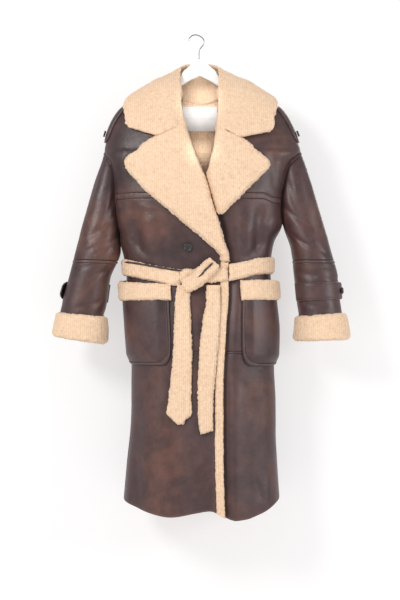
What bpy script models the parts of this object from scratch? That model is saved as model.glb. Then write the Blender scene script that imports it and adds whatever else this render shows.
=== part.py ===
# Shearling coat with its own fleece belt, hanging on a white wooden hanger.
# Metres, +Z up, front towards -Y. Origin: inside top of the hanger's hook.
# "right" and "left" are the wearer's; the right front closes over the left.
import bpy, bmesh, math
import numpy as np

for o in list(bpy.data.objects):
    bpy.data.objects.remove(o, do_unlink=True)

# ---------------------------------------------------------------- sizes
PANEL = 0.0055        # shearling wall: hide and clipped fleece
FLEECE = 0.010        # full pile of collar, lapels and cuffs
BELT_T = 0.008        # belt thickness
GAP = 0.0005          # clearance between sewn pieces
XM = 0.013            # middle of the body
HOOK_R = 0.0016       # hook wire radius
WOOD_T = 0.012        # hanger wood thickness
BUTTON_R = 0.0115     # front button radius
SMALL_R = 0.0085      # strap button radius

# Body sections: level, right side x, left side x, front depth, back depth, squareness
BODY = np.array([
    (-0.120, -0.070, 0.094, 0.030, 0.048, 2.2),
    (-0.132, -0.098, 0.124, 0.038, 0.054, 2.2),
    (-0.146, -0.125, 0.150, 0.046, 0.058, 2.2),
    (-0.168, -0.162, 0.186, 0.056, 0.062, 2.3),
    (-0.190, -0.190, 0.216, 0.065, 0.066, 2.3),
    (-0.213, -0.210, 0.236, 0.074, 0.070, 2.3),
    (-0.245, -0.227, 0.254, 0.085, 0.075, 2.3),
    (-0.277, -0.237, 0.267, 0.094, 0.078, 2.3),
    (-0.309, -0.242, 0.277, 0.100, 0.081, 2.3),
    (-0.345, -0.219, 0.236, 0.104, 0.083, 2.3),
    (-0.386, -0.212, 0.224, 0.106, 0.084, 2.3),
    (-0.440, -0.209, 0.222, 0.107, 0.085, 2.4),
    (-0.490, -0.207, 0.219, 0.105, 0.083, 2.4),
    (-0.531, -0.203, 0.211, 0.101, 0.081, 2.4),
    (-0.566, -0.196, 0.202, 0.096, 0.078, 2.4),
    (-0.595, -0.190, 0.198, 0.093, 0.076, 2.4),
    (-0.625, -0.185, 0.197, 0.091, 0.075, 2.4),
    (-0.701, -0.181, 0.201, 0.099, 0.080, 2.4),
    (-0.781, -0.175, 0.207, 0.106, 0.085, 2.4),
    (-0.865, -0.170, 0.206, 0.109, 0.088, 2.4),
    (-0.966, -0.171, 0.210, 0.112, 0.091, 2.4),
    (-1.038, -0.174, 0.210, 0.115, 0.093, 2.4),
    (-1.125, -0.182, 0.214, 0.119, 0.096, 2.4),
    (-1.226, -0.191, 0.221, 0.125, 0.100, 2.4),
])
HEM_Z = -1.226
# Front hem: place across the front, how far it hangs below the side of the hem
HEM_FRONT = np.array([(-0.191, 0.001), (-0.152, 0.014), (-0.109, 0.025), (-0.064, 0.032), (0.001, 0.020),
                      (0.036, 0.015), (0.077, 0.033), (0.101, 0.040), (0.132, 0.038), (0.168, 0.028), (0.221, -0.003)])
# Back hem: place across, drop
HEM_BACK = np.array([(-0.191, 0.001), (-0.12, 0.010), (-0.05, 0.003), (0.02, 0.012), (0.09, 0.004), (0.16, 0.011), (0.221, -0.003)])
# Back neckline: place round the neck from its side (0) to centre back (1), drop below the neck point
NECK_DROP = np.array([(0.0, 0.0), (0.25, 0.002), (0.5, 0.013), (0.75, 0.036), (1.0, 0.053)])

# Arm sections: level, outer x, inner x, front depth, back depth, middle y, ring tilt (drop per metre inwards)
ARM_R = np.array([
    (-0.309, -0.242, -0.207, 0.020, 0.022, 0.000, 0.00),
    (-0.338, -0.250, -0.202, 0.036, 0.036, 0.000, 0.00),
    (-0.383, -0.266, -0.201, 0.046, 0.045, 0.000, 0.00),
    (-0.436, -0.282, -0.203, 0.052, 0.050, -0.001, 0.00),
    (-0.508, -0.302, -0.203, 0.056, 0.054, -0.003, 0.00),
    (-0.569, -0.317, -0.199, 0.060, 0.056, -0.006, 0.02),
    (-0.643, -0.335, -0.227, 0.058, 0.054, -0.010, 0.05),
    (-0.717, -0.354, -0.238, 0.056, 0.052, -0.014, 0.08),
    (-0.740, -0.358, -0.244, 0.055, 0.051, -0.015, 0.09),
    (-0.810, -0.371, -0.243, 0.060, 0.056, -0.018, 0.16),
])
ARM_L = np.array([
    (-0.309, 0.277, 0.233, 0.020, 0.022, 0.000, 0.00),
    (-0.340, 0.289, 0.224, 0.036, 0.036, 0.000, 0.00),
    (-0.380, 0.302, 0.222, 0.046, 0.045, 0.000, 0.00),
    (-0.436, 0.319, 0.218, 0.052, 0.050, -0.001, 0.00),
    (-0.508, 0.339, 0.232, 0.056, 0.054, -0.003, 0.00),
    (-0.569, 0.356, 0.252, 0.060, 0.056, -0.006, 0.00),
    (-0.643, 0.375, 0.260, 0.058, 0.054, -0.010, 0.01),
    (-0.703, 0.379, 0.266, 0.056, 0.052, -0.014, 0.04),
    (-0.735, 0.384, 0.271, 0.055, 0.051, -0.015, 0.07),
    (-0.800, 0.396, 0.266, 0.060, 0.056, -0.018, 0.03),
])
# Armhole seam: angle round the arm from its outer side (degrees), level of the seam
HOLE_R = np.array([(0, -0.309), (22.5, -0.311), (45, -0.316), (67.5, -0.324), (90, -0.335), (112.5, -0.356), (135, -0.405), (157.5, -0.492), (180, -0.528)])
HOLE_L = np.array([(0, -0.309), (22.5, -0.310), (45, -0.313), (67.5, -0.319), (90, -0.328), (112.5, -0.341), (135, -0.372), (157.5, -0.450), (180, -0.497)])
ARM_COLS = 16

# Roll line of the right front and, below the belt, its edge: level, x
EDGE_R = np.array([(-0.120, -0.049), (-0.160, -0.048), (-0.205, -0.041), (-0.254, -0.026), (-0.329, 0.000), (-0.391, 0.026),
                   (-0.462, 0.046), (-0.524, 0.067), (-0.558, 0.074), (-0.589, 0.085), (-0.625, 0.084), (-0.675, 0.084),
                   (-0.768, 0.078), (-0.834, 0.074), (-0.926, 0.070), (-1.077, 0.070), (-1.251, 0.075)])
# Roll line of the left front and the hidden run of its edge: level, x
EDGE_L = np.array([(-0.120, 0.072), (-0.160, 0.069), (-0.205, 0.063), (-0.258, 0.053), (-0.306, 0.047), (-0.356, 0.034), (-0.385, 0.027),
                   (-0.450, 0.000), (-0.530, -0.030), (-0.600, -0.050), (-0.700, -0.052), (-1.251, -0.050)])
# Largest folds: side of the coat (1 front, -1 back), upper x and level, lower x and level, half width, height (below 0 a trough)
FOLDS = (
    (1, -0.168, -0.440, -0.146, -0.592, 0.016, -0.0075), (1, -0.120, -0.470, -0.116, -0.585, 0.020, 0.0040),
    (1, 0.170, -0.445, 0.160, -0.592, 0.015, -0.0075), (1, 0.130, -0.500, 0.136, -0.590, 0.018, 0.0035),
    (1, -0.040, -0.720, -0.052, -1.226, 0.026, -0.0045), (1, -0.100, -0.905, -0.094, -1.226, 0.030, 0.0045),
    (1, 0.104, -0.870, 0.100, -1.226, 0.020, 0.0045), (1, 0.152, -0.905, 0.158, -1.226, 0.022, -0.0055),
    (1, -0.150, -0.900, -0.158, -1.226, 0.018, -0.0045),
    (-1, -0.120, -0.400, -0.100, -0.588, 0.018, -0.0070), (-1, 0.030, -0.470, 0.020, -0.588, 0.020, -0.0050),
    (-1, 0.140, -0.410, 0.118, -0.588, 0.017, -0.0070), (-1, -0.070, -0.650, -0.100, -1.226, 0.030, -0.0070),
    (-1, 0.010, -0.700, 0.014, -1.226, 0.028, 0.0050), (-1, 0.090, -0.650, 0.118, -1.226, 0.028, -0.0065),
)

# Lapels: level, outer edge x, inner edge x
LAPEL_R = np.array([(-0.259, -0.036, -0.0245), (-0.267, -0.058, -0.0215), (-0.284, -0.097, -0.0155), (-0.300, -0.126, -0.010), (-0.316, -0.150, -0.0045),
                    (-0.333, -0.1775, 0.0015), (-0.344, -0.182, 0.006), (-0.361, -0.177, 0.0135), (-0.388, -0.155, 0.025), (-0.416, -0.131, 0.033),
                    (-0.458, -0.081, 0.0445), (-0.485, -0.050, 0.0535), (-0.511, -0.019, 0.0625), (-0.551, 0.029, 0.073), (-0.582, 0.060, 0.084), (-0.601, 0.067, 0.0855)])
LAPEL_L = np.array([(-0.264, 0.065, 0.052), (-0.275, 0.082, 0.0505), (-0.290, 0.112, 0.049), (-0.300, 0.129, 0.0475), (-0.311, 0.145, 0.0455),
                    (-0.333, 0.178, 0.0395), (-0.344, 0.189, 0.037), (-0.358, 0.187, 0.034), (-0.379, 0.167, 0.029), (-0.413, 0.133, 0.038),
                    (-0.444, 0.103, 0.0465), (-0.462, 0.084, 0.0515), (-0.480, 0.069, 0.0575)])

# Collar stations from the right front end round the back to the left front end.
# neck seam level (fronts), fold point (x, y, z); rest, middle and edge points of the fall as (x, level, side), side F front, R right ridge, B back, L left ridge
COLLAR = (
    (-0.256, (-0.030, -0.097, -0.252), (-0.050, -0.259, 'F'), (-0.096, -0.278, 'F'), (-0.168, -0.256, 'F')),
    (-0.224, (-0.036, -0.084, -0.216), (-0.062, -0.222, 'F'), (-0.115, -0.240, 'F'), (-0.178, -0.240, 'F')),
    (-0.190, (-0.0405, -0.068, -0.178), (-0.072, -0.188, 'F'), (-0.122, -0.204, 'F'), (-0.1795, -0.220, 'F')),
    (-0.155, (-0.0425, -0.040, -0.130), (-0.078, -0.156, 'F'), (-0.122, -0.174, 'F'), (-0.1840, -0.199, 'F')),
    (-0.120, (-0.041, 0.002, -0.092), (0, -0.132, 'R'), (0, -0.150, 'R'), (0, -0.178, 'R')),
    (0, (-0.034, 0.026, -0.080), (-0.070, -0.142, 'B'), (-0.105, -0.170, 'B'), (-0.143, -0.205, 'B')),
    (0, (-0.014, 0.041, -0.073), (-0.035, -0.158, 'B'), (-0.055, -0.188, 'B'), (-0.075, -0.225, 'B')),
    (0, (0.010, 0.046, -0.072), (0.010, -0.166, 'B'), (0.010, -0.198, 'B'), (0.010, -0.232, 'B')),
    (0, (0.034, 0.041, -0.073), (0.055, -0.158, 'B'), (0.076, -0.188, 'B'), (0.097, -0.225, 'B')),
    (0, (0.053, 0.026, -0.080), (0.090, -0.142, 'B'), (0.127, -0.170, 'B'), (0.166, -0.205, 'B')),
    (-0.120, (0.060, 0.002, -0.092), (0, -0.132, 'L'), (0, -0.150, 'L'), (0, -0.180, 'L')),
    (-0.155, (0.0615, -0.040, -0.131), (0.098, -0.156, 'F'), (0.144, -0.176, 'F'), (0.2060, -0.204, 'F')),
    (-0.192, (0.060, -0.068, -0.180), (0.090, -0.190, 'F'), (0.141, -0.210, 'F'), (0.200, -0.228, 'F')),
    (-0.228, (0.058, -0.086, -0.220), (0.082, -0.226, 'F'), (0.132, -0.247, 'F'), (0.1985, -0.250, 'F')),
    (-0.262, (0.056, -0.098, -0.257), (0.074, -0.264, 'F'), (0.110, -0.283, 'F'), (0.188, -0.2665, 'F')),
)

# Pockets: level, side angle (degrees round the section from the side seam), inner edge x
POCKET_R = np.array([(-0.7010, -4.0, -0.068), (-0.735, -4.0, -0.067), (-0.773, -4.0, -0.0655), (-0.812, -4.0, -0.064), (-0.841, -3.0, -0.0645), (-0.856, 2.0, -0.069), (-0.864, 8.0, -0.074), (-0.869, 16.0, -0.080)])
POCKET_L = np.array([(-0.7010, -4.0, 0.119), (-0.735, -4.0, 0.1185), (-0.773, -4.0, 0.118), (-0.812, -4.0, 0.118), (-0.841, -3.0, 0.1195), (-0.858, 2.0, 0.124), (-0.867, 8.0, 0.130), (-0.872, 16.0, 0.138)])
# Pocket bands: top level at the side and at the inner end, bottom level
BAND_R = (-0.650, -0.663, -0.7005)
BAND_L = (-0.651, -0.652, -0.7005)

BELT_W = 0.040        # belt width
# Belt middle round the body: angle (degrees, 0 right side, 90 front, 180 left side, negative behind), level
BELT_LINE_F = np.array([(-0.200, -0.613), (-0.180, -0.616), (-0.109, -0.633), (-0.038, -0.644), (0.020, -0.640), (0.080, -0.631), (0.131, -0.621), (0.160, -0.614), (0.209, -0.609)])


def pchip(t, x):
    """smooth monotone curve through a table whose first column rises or falls"""
    t = np.asarray(t, float)
    if t[0, 0] > t[-1, 0]:
        t = t[::-1]
    xs, ys = t[:, 0], t[:, 1]
    h = np.diff(xs); d = np.diff(ys) / h
    m = np.zeros_like(ys)
    p = d[:-1] * d[1:]
    ok = p > 0
    m[1:-1] = np.where(ok, 2 * p / np.where(ok, d[:-1] + d[1:], 1.0), 0.0)
    m[0], m[-1] = d[0], d[-1]
    x = np.clip(np.asarray(x, float), xs[0], xs[-1])
    i = np.clip(np.searchsorted(xs, x, side='right') - 1, 0, len(xs) - 2)
    s = (x - xs[i]) / h[i]
    return ((1 + 2 * s) * (1 - s) ** 2 * ys[i] + s * (1 - s) ** 2 * h[i] * m[i]
            + s * s * (3 - 2 * s) * ys[i + 1] + s * s * (s - 1) * h[i] * m[i + 1])


def col(table, k, z):
    return pchip(table[:, [0, k]], z)


def smooth(x):
    x = np.clip(x, 0, 1)
    return x * x * (3 - 2 * x)


def ring(z, phi, side):
    """arm surface: angle 0 outer side, 90 front, 180 towards the body, negative behind"""
    T = ARM_R if side < 0 else ARM_L
    z, phi = np.broadcast_arrays(np.asarray(z, float), np.asarray(phi, float))
    xo, xi = col(T, 1, z), col(T, 2, z)
    b = np.where(phi >= 0, col(T, 3, z), col(T, 4, z))
    c, s = np.cos(phi), np.sin(phi)
    x = (xo + xi) / 2 + (xo - xi) / 2 * np.sign(c) * np.abs(c) ** 0.92
    y = col(T, 5, z) - b * np.sign(s) * np.abs(s) ** 0.92
    return np.stack([x, y, z - col(T, 6, z) * (x - (xo + xi) / 2) * (1 if side < 0 else -1)], -1)


def ring_normal(z, phi, side):
    """outward normal of the arm surface"""
    z, phi = np.broadcast_arrays(np.asarray(z, float), np.asarray(phi, float))
    du = ring(z, phi + 0.04, side) - ring(z, phi - 0.04, side)
    dv = ring(z - 0.008, phi, side) - ring(z + 0.008, phi, side)
    n = np.cross(dv, du) * (-1 if side > 0 else 1)
    return n / np.linalg.norm(n, axis=-1, keepdims=True)


def hole_z(phi_deg, side):
    return pchip(HOLE_R if side < 0 else HOLE_L, np.abs(phi_deg))


def hole_phi(z, side):
    return np.radians(pchip((HOLE_R if side < 0 else HOLE_L)[:, ::-1], z))


def side_point(z, side):
    """where the body panels end at each level: side x, and how far forward and back of the middle their edges lie"""
    z = np.asarray(z, float)
    H = HOLE_R if side < 0 else HOLE_L
    top, low = H[0, 1], H[-1, 1]
    x = col(BODY, 1 if side < 0 else 2, z)
    ph = hole_phi(np.clip(z, low, top), side)
    f, b = ring(np.clip(z, low, top), ph, side), ring(np.clip(z, low, top), -ph, side)
    inside = (z < top) & (z > low)
    fade = smooth((low - z) / 0.05)
    x_low = ring(np.array(low), np.array(math.pi), side)[0]
    y_low = ring(np.array(low), np.array(math.pi), side)[1]
    x = np.where(inside, f[..., 0], np.where(z <= low, x_low * (1 - fade) + x * fade, x))
    yf = np.where(inside, f[..., 1], np.where(z <= low, y_low * (1 - fade), 0.0))
    yb = np.where(inside, b[..., 1], np.where(z <= low, y_low * (1 - fade), 0.0))
    return x, yf, yb


def body(z, beta):
    """body surface: beta 0 right side, pi/2 centre front, pi left side, negative behind"""
    z, beta = np.broadcast_arrays(np.asarray(z, float), np.asarray(beta, float))
    n = col(BODY, 5, z)
    c, s = np.cos(beta), np.sin(beta)
    cc = -np.sign(c) * np.abs(c) ** (2 / n)
    ss = np.abs(s) ** (2 / n)
    xr, fr, br = side_point(z, -1)
    xl, fl, bl = side_point(z, 1)
    x = np.where(cc < 0, XM + (XM - xr) * cc, XM + (xl - XM) * cc)
    f = np.where(cc < 0, fr, fl)
    b = np.where(cc < 0, br, bl)
    y = np.where(beta >= 0, f - (col(BODY, 3, z) + f) * ss, b + (col(BODY, 4, z) - b) * ss)
    return np.stack([x, y, z], -1)


def normal(z, beta):
    """outward normal of the body surface"""
    z, beta = np.broadcast_arrays(np.asarray(z, float), np.asarray(beta, float))
    sg = np.where(beta >= 0, 1.0, -1.0)

    def raw(a):
        du = body(z, a + 0.02) - body(z, a - 0.02)
        dv = body(np.clip(z - 0.006, -1.3, -0.120), a) - body(np.clip(z + 0.006, -1.3, -0.120), a)
        n = np.cross(dv, du)
        return n / np.linalg.norm(n, axis=-1, keepdims=True)
    a = np.clip(np.abs(beta), 0.03, math.pi - 0.03)
    n = raw(sg * a)
    # at a closed side the front and back share one normal
    near = np.minimum(np.abs(beta), math.pi - np.abs(beta))
    right = np.abs(beta) < math.pi / 2
    H0 = np.where(right, HOLE_R[-1, 1], HOLE_L[-1, 1])
    shut = np.where((z > HOLE_R[0, 1] + 0.004) | (z < H0 - 0.02), 1.0, 0.0) * (1 - smooth(near / 0.35))
    m = raw(-sg * a)
    n = n * (1 - 0.5 * shut[..., None]) + m * (0.5 * shut[..., None])
    return n / np.linalg.norm(n, axis=-1, keepdims=True)


def beta_at(x, z, back=False):
    """angle of the point of the body surface at x on a level"""
    x, z = np.broadcast_arrays(np.asarray(x, float), np.asarray(z, float))
    xr, xl = side_point(z, -1)[0], side_point(z, 1)[0]
    n = col(BODY, 5, z)
    cc = np.clip(np.where(x < XM, (x - XM) / (XM - xr), (x - XM) / (xl - XM)), -1, 1)
    b = np.arccos(-np.sign(cc) * np.abs(cc) ** (n / 2))
    return -b if back else b


def sink(x, z):
    """the left front lies under the right front: how far its surface drops there"""
    return 0.0125 * smooth((pchip(EDGE_R, z) + 0.024 - x) / 0.018) * smooth((-0.30 - z) / 0.06)


def fold(x, z, beta):
    """height of the soft folds over the plain body form"""
    h = 0.0 * x
    for side, x0, z0, x1, z1, w, a in FOLDS:
        t = (z0 - z) / (z0 - z1)
        c = x0 + (x1 - x0) * t
        run = smooth(t / 0.30) * np.where(z1 > -1.2, smooth((1 - t) / 0.25), t < 1.2)
        h = h + np.where(beta * side >= 0, a * np.exp(-((x - c) / w) ** 2) * run, 0.0)
    return h


def put(z, beta, lift, under=False):
    p, n = body(z, beta), normal(z, beta)
    lift = np.asarray(lift, float) + fold(p[..., 0], p[..., 2], beta + 0 * p[..., 0]) - (sink(p[..., 0], p[..., 2]) if under else 0.0)
    return p + n * lift[..., None]


def inside(z, beta, t, under=False):
    """fleece side of a panel: the same levels, drawn in by the thickness"""
    z, beta = np.broadcast_arrays(np.asarray(z, float), np.asarray(beta, float))
    p, n = body(z, beta), normal(z, beta)
    e = 0.006
    up, dn = np.clip(z + e, -1.3, -0.120), np.clip(z - e, -1.3, -0.120)
    left = p[..., 0] > XM
    k = np.where(left, 2, 1)
    sx = np.where(left, (side_point(up, 1)[0] - side_point(dn, 1)[0]), (side_point(up, -1)[0] - side_point(dn, -1)[0])) / (up - dn)
    sd = np.where(beta >= 0, col(BODY, 3, up) - col(BODY, 3, dn), col(BODY, 4, up) - col(BODY, 4, dn)) / (up - dn)
    tx = t * np.minimum(np.sqrt(1 + sx ** 2), 1.7)
    ty = t * np.minimum(np.sqrt(1 + sd ** 2), 1.6)
    half = np.where(left, side_point(z, 1)[0] - XM, XM - side_point(z, -1)[0])
    q = p.copy()
    q[..., 0] = XM + (p[..., 0] - XM) * (1 - tx / half)
    ye = np.where(left, np.where(beta >= 0, side_point(z, 1)[1], side_point(z, 1)[2]), np.where(beta >= 0, side_point(z, -1)[1], side_point(z, -1)[2]))
    d = np.where(beta >= 0, col(BODY, 3, z) + ye, col(BODY, 4, z) - ye)
    q[..., 1] = ye + (p[..., 1] - ye) * (1 - ty / d)
    h = fold(p[..., 0], p[..., 2], beta) - (sink(p[..., 0], p[..., 2]) if under else 0.0)
    return q + n * h[..., None]


def hem_z(z, x, back):
    """levels near the bottom stretched down to the hem's wave"""
    drop = pchip(HEM_BACK if back else HEM_FRONT, x)
    return z - drop * smooth((-1.00 - z) / (-1.00 - HEM_Z))


# ---------------------------------------------------------------- building
MATS = {}


def material(name, rgb, rough=0.8, metal=0.0):
    m = bpy.data.materials.new(name)
    m.use_nodes = True
    b = m.node_tree.nodes['Principled BSDF']
    b.inputs['Base Color'].default_value = (*rgb, 1)
    b.inputs['Roughness'].default_value = rough
    b.inputs['Metallic'].default_value = metal
    m.diffuse_color = (*rgb, 1)
    MATS[name] = m
    return m


def wall(name, outer, inner, mat, wrap_u=False):
    """closed wall between two matching grids; rows run down the first index, columns along the second"""
    outer, inner = np.asarray(outer, float), np.asarray(inner, float)
    m, n = outer.shape[:2]
    me = bpy.data.meshes.new(name)
    bm = bmesh.new()
    A = [[bm.verts.new(outer[i, j]) for j in range(n)] for i in range(m)]
    B = [[bm.verts.new(inner[i, j]) for j in range(n)] for i in range(m)]
    cols = n if wrap_u else n - 1

    def quad(a, b, c, d):
        bm.faces.new((a, b, c)); bm.faces.new((a, c, d))
    for i in range(m - 1):
        for j in range(cols):
            k = (j + 1) % n
            quad(A[i][j], A[i + 1][j], A[i + 1][k], A[i][k])
            quad(B[i][j], B[i][k], B[i + 1][k], B[i + 1][j])
    for j in range(cols):
        k = (j + 1) % n
        quad(A[0][j], A[0][k], B[0][k], B[0][j])
        quad(A[m - 1][j], B[m - 1][j], B[m - 1][k], A[m - 1][k])
    if not wrap_u:
        for i in range(m - 1):
            quad(A[i][0], B[i][0], B[i + 1][0], A[i + 1][0])
            quad(A[i][n - 1], A[i + 1][n - 1], B[i + 1][n - 1], B[i][n - 1])
    bmesh.ops.recalc_face_normals(bm, faces=bm.faces)
    if bm.calc_volume(signed=True) < 0:
        bmesh.ops.reverse_faces(bm, faces=bm.faces)
    bm.to_mesh(me); bm.free()
    me.materials.append(MATS[mat])
    ob = bpy.data.objects.new(name, me)
    bpy.context.scene.collection.objects.link(ob)
    return ob


def grid_normal(P, wrap=False):
    if wrap:
        du = np.roll(P, -1, 1) - np.roll(P, 1, 1)
    else:
        du = np.gradient(P, axis=1)
    dv = np.gradient(P, axis=0)
    n = np.cross(dv, du)
    return n / np.maximum(np.linalg.norm(n, axis=-1, keepdims=True), 1e-12)


def pillow(u, v, ru, rv, low=0.35):
    """thickness share over a piece: full in the middle, thinner at its edges"""
    e = np.minimum(np.clip(np.minimum(u, 1 - u) / ru, 0, 1), np.clip(np.minimum(v, 1 - v) / rv, 0, 1))
    return low + (1 - low) * np.sqrt(1 - (1 - e) ** 2)


def sweep(name, pts, radius, mat, sides=10):
    """round wire along a smooth path"""
    P = np.asarray(pts, float)
    T = np.gradient(P, axis=0); T /= np.linalg.norm(T, axis=1, keepdims=True)
    ref = np.array([0, 1.0, 0])
    me = bpy.data.meshes.new(name); bm = bmesh.new(); R = []
    for p, t in zip(P, T):
        a = np.cross(t, ref); a /= np.linalg.norm(a); b = np.cross(t, a)
        R.append([bm.verts.new(p + radius * (math.cos(w) * a + math.sin(w) * b)) for w in np.linspace(0, 2 * math.pi, sides, endpoint=False)])
    for i in range(len(R) - 1):
        for j in range(sides):
            k = (j + 1) % sides
            bm.faces.new((R[i][j], R[i][k], R[i + 1][k], R[i + 1][j]))
    bm.faces.new(R[0]); bm.faces.new(R[-1])
    bmesh.ops.recalc_face_normals(bm, faces=bm.faces)
    if bm.calc_volume(signed=True) < 0:
        bmesh.ops.reverse_faces(bm, faces=bm.faces)
    bmesh.ops.triangulate(bm, faces=bm.faces)
    bm.to_mesh(me); bm.free()
    me.materials.append(MATS[mat])
    ob = bpy.data.objects.new(name, me)
    bpy.context.scene.collection.objects.link(ob)
    return ob


def spline(pts, n):
    """smooth curve through points, n samples"""
    P = np.asarray(pts, float)
    P = np.vstack([2 * P[0] - P[1], P, 2 * P[-1] - P[-2]])
    out = []
    m = len(P) - 3
    for t in np.linspace(0, m, n):
        i = min(int(t), m - 1); s = t - i
        a, b, c, d = P[i:i + 4]
        out.append(0.5 * (2 * b + (c - a) * s + (2 * a - 5 * b + 4 * c - d) * s * s + (3 * b - a - 3 * c + d) * s ** 3))
    return np.array(out)


def button(name, p, n, r, t, mat='button_horn', seg=20):
    """turned button with a raised rim, standing on point p along n"""
    n = n / np.linalg.norm(n)
    a = np.cross(n, [0, 0, 1.0]); a /= np.linalg.norm(a); b = np.cross(n, a)
    prof = ((0.0, r * 0.86), (t * 0.3, r), (t * 0.8, r), (t, r * 0.86), (t, r * 0.72), (t * 0.72, r * 0.62))
    me = bpy.data.meshes.new(name); bm = bmesh.new(); R = []
    for h, q in prof:
        R.append([bm.verts.new(p + n * h + q * (math.cos(w) * a + math.sin(w) * b)) for w in np.linspace(0, 2 * math.pi, seg, endpoint=False)])
    for i in range(len(R) - 1):
        for j in range(seg):
            k = (j + 1) % seg
            bm.faces.new((R[i][j], R[i][k], R[i + 1][k], R[i + 1][j]))
    bm.faces.new(R[0]); bm.faces.new(R[-1])
    bmesh.ops.recalc_face_normals(bm, faces=bm.faces)
    if bm.calc_volume(signed=True) < 0:
        bmesh.ops.reverse_faces(bm, faces=bm.faces)
    bmesh.ops.triangulate(bm, faces=bm.faces)
    bm.to_mesh(me); bm.free()
    me.materials.append(MATS[mat])
    ob = bpy.data.objects.new(name, me)
    bpy.context.scene.collection.objects.link(ob)
    return ob


material('leather', (0.115, 0.066, 0.056), 0.6)
material('fleece', (0.86, 0.70, 0.53), 0.95)
material('button_horn', (0.05, 0.045, 0.045), 0.35)
material('label_cloth', (0.93, 0.92, 0.90), 0.8)
material('hanger_paint', (0.93, 0.93, 0.93), 0.4)
material('hook_wire', (0.72, 0.72, 0.73), 0.25, 1.0)

# ---------------------------------------------------------------- body panels
SHOULDER = [-0.120, -0.130, -0.142, -0.160, -0.185, -0.213, -0.245, -0.280]
BELOW = [-0.562, -0.589, -0.602, -0.640, -0.701, -0.770, -0.850, -0.930, -1.020, -1.110, -1.170, -1.226]
HALF = ARM_COLS // 2
HOLES_R = [float(hole_z(180.0 * k / HALF, -1)) for k in range(HALF + 1)]
HOLES_L = [float(hole_z(180.0 * k / HALF, 1)) for k in range(HALF + 1)]


def side_start(z, side, back):
    """angle at which a panel begins so that its edge keeps the seam gap"""
    n = col(BODY, 5, z)
    x, f, b = side_point(z, side)
    d = np.where(back, col(BODY, 4, z) - b, col(BODY, 3, z) + f)
    return np.arcsin(np.clip(GAP / d, 0, 1) ** (n / 2))


def front_right(levels, cols):
    z = np.array(levels)
    a0 = side_start(z, -1, False)
    trim = np.interp(-z, [0.55, 0.570, 0.600], [0.0092, 0.0092, 0.0212])
    a1 = beta_at(pchip(EDGE_R, z) - trim, z)
    B = a0[:, None] + (a1 - a0)[:, None] * np.linspace(0, 1, cols)
    Z = np.repeat(z[:, None], cols, 1)
    Z = hem_z(Z, body(Z, B)[..., 0], False)
    wall('front_right', put(Z, B, 0 * Z), inside(Z, B, PANEL), 'leather')


def front_left(levels, cols):
    z = np.array(levels)
    a0 = math.pi - side_start(z, 1, False)
    ER = pchip(EDGE_R, z)
    edge = pchip(EDGE_L, z) + np.interp(-z, [0.4, 0.5], [0.0092, 0.0])
    xa, xb, xc = np.maximum(ER + 0.026, edge + 0.012), np.maximum(ER + 0.015, edge + 0.008), np.maximum(ER + 0.005, edge + 0.004)
    aa = beta_at(xa, z)
    B = [a0 + (aa - a0) * q for q in np.linspace(0, 1, cols)]
    B += [beta_at(xb, z), beta_at(xc, z), beta_at(xc + (edge - xc) * 0.5, z), beta_at(edge, z)]
    B = np.stack(B, 1)
    Z = np.repeat(z[:, None], B.shape[1], 1)
    Z = hem_z(Z, body(Z, B)[..., 0], False)
    wall('front_left', put(Z, B, 0 * Z, True), inside(Z, B, PANEL, True), 'leather')


front_right(SHOULDER + HOLES_R + BELOW, 11)
front_left(SHOULDER + HOLES_L + BELOW, 8)

zr, zl = np.array(SHOULDER + HOLES_R + BELOW), np.array(SHOULDER + HOLES_L + BELOW)
u = np.linspace(0, 1, 16)
Z = zr[:, None] + (zl - zr)[:, None] * u
a0, a1 = side_start(zr, -1, True), math.pi - side_start(zl, 1, True)
B = -(a0[:, None] + (a1 - a0)[:, None] * u)
drop = pchip(NECK_DROP, 1 - np.abs(np.abs(B) - math.pi / 2) / (math.pi / 2))
top, keep = -0.120, -0.280
Z = np.where(Z > keep, keep + (Z - keep) * (top - drop - keep) / (top - keep), Z)
Z = hem_z(Z, body(Z, B)[..., 0], True)
wall('back', put(Z, B, 0 * Z), inside(Z, B, PANEL), 'leather')

# ---------------------------------------------------------------- sleeves
ELBOW = -0.597        # elbow seam level at the arm's middle
CUFF_TOP = -0.7400    # where the turned cuff begins
CUFF_END = -0.805


def sleeve(name, side, zs_top, levels, lift0, lift1, mat, cols=ARM_COLS):
    phi = np.linspace(-math.pi, math.pi, cols, endpoint=False)
    rows = []
    if zs_top is not None:
        first = levels[0]
        for s in zs_top:
            zt = hole_z(np.degrees(np.abs(phi)), side) - GAP
            rows.append(zt + (first - zt) * s)
    rows += [np.full(cols, q) for q in levels]
    Zr = np.array(rows)
    P = ring(Zr, phi[None, :], side)
    n = ring_normal(Zr, phi[None, :], side)
    if np.mean(n[:, cols // 2, 0] * side) < 0:
        n = -n
    return wall(name, P + n * lift1, P + n * lift0, mat, True)


for side, tag in ((-1, 'right'), (1, 'left')):
    sleeve('sleeve_upper_' + tag, side, (0, 0.12, 0.3, 0.5, 0.75), (-0.552, ELBOW + 0.0004), -PANEL, 0.0, 'leather')
    sleeve('sleeve_lower_' + tag, side, None, (ELBOW - 0.0004, -0.643, -0.69, CUFF_TOP + 0.0004), -PANEL, 0.0, 'leather')
    phi = np.linspace(-math.pi, math.pi, 16, endpoint=False)
    zz = np.array([CUFF_TOP - 0.0004, CUFF_TOP - 0.004, -0.760, -0.782, CUFF_END + 0.004, CUFF_END])
    P = ring(zz[:, None], phi[None, :], side)
    n = ring_normal(zz[:, None], phi[None, :], side)
    if np.mean(n[:, 8, 0] * side) < 0:
        n = -n
    out = np.array([0.004, 0.008, 0.010, 0.010, 0.008, 0.003])
    wall('cuff_' + tag, P + n * out[:, None, None], P - n * 0.004, 'fleece', True)

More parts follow.
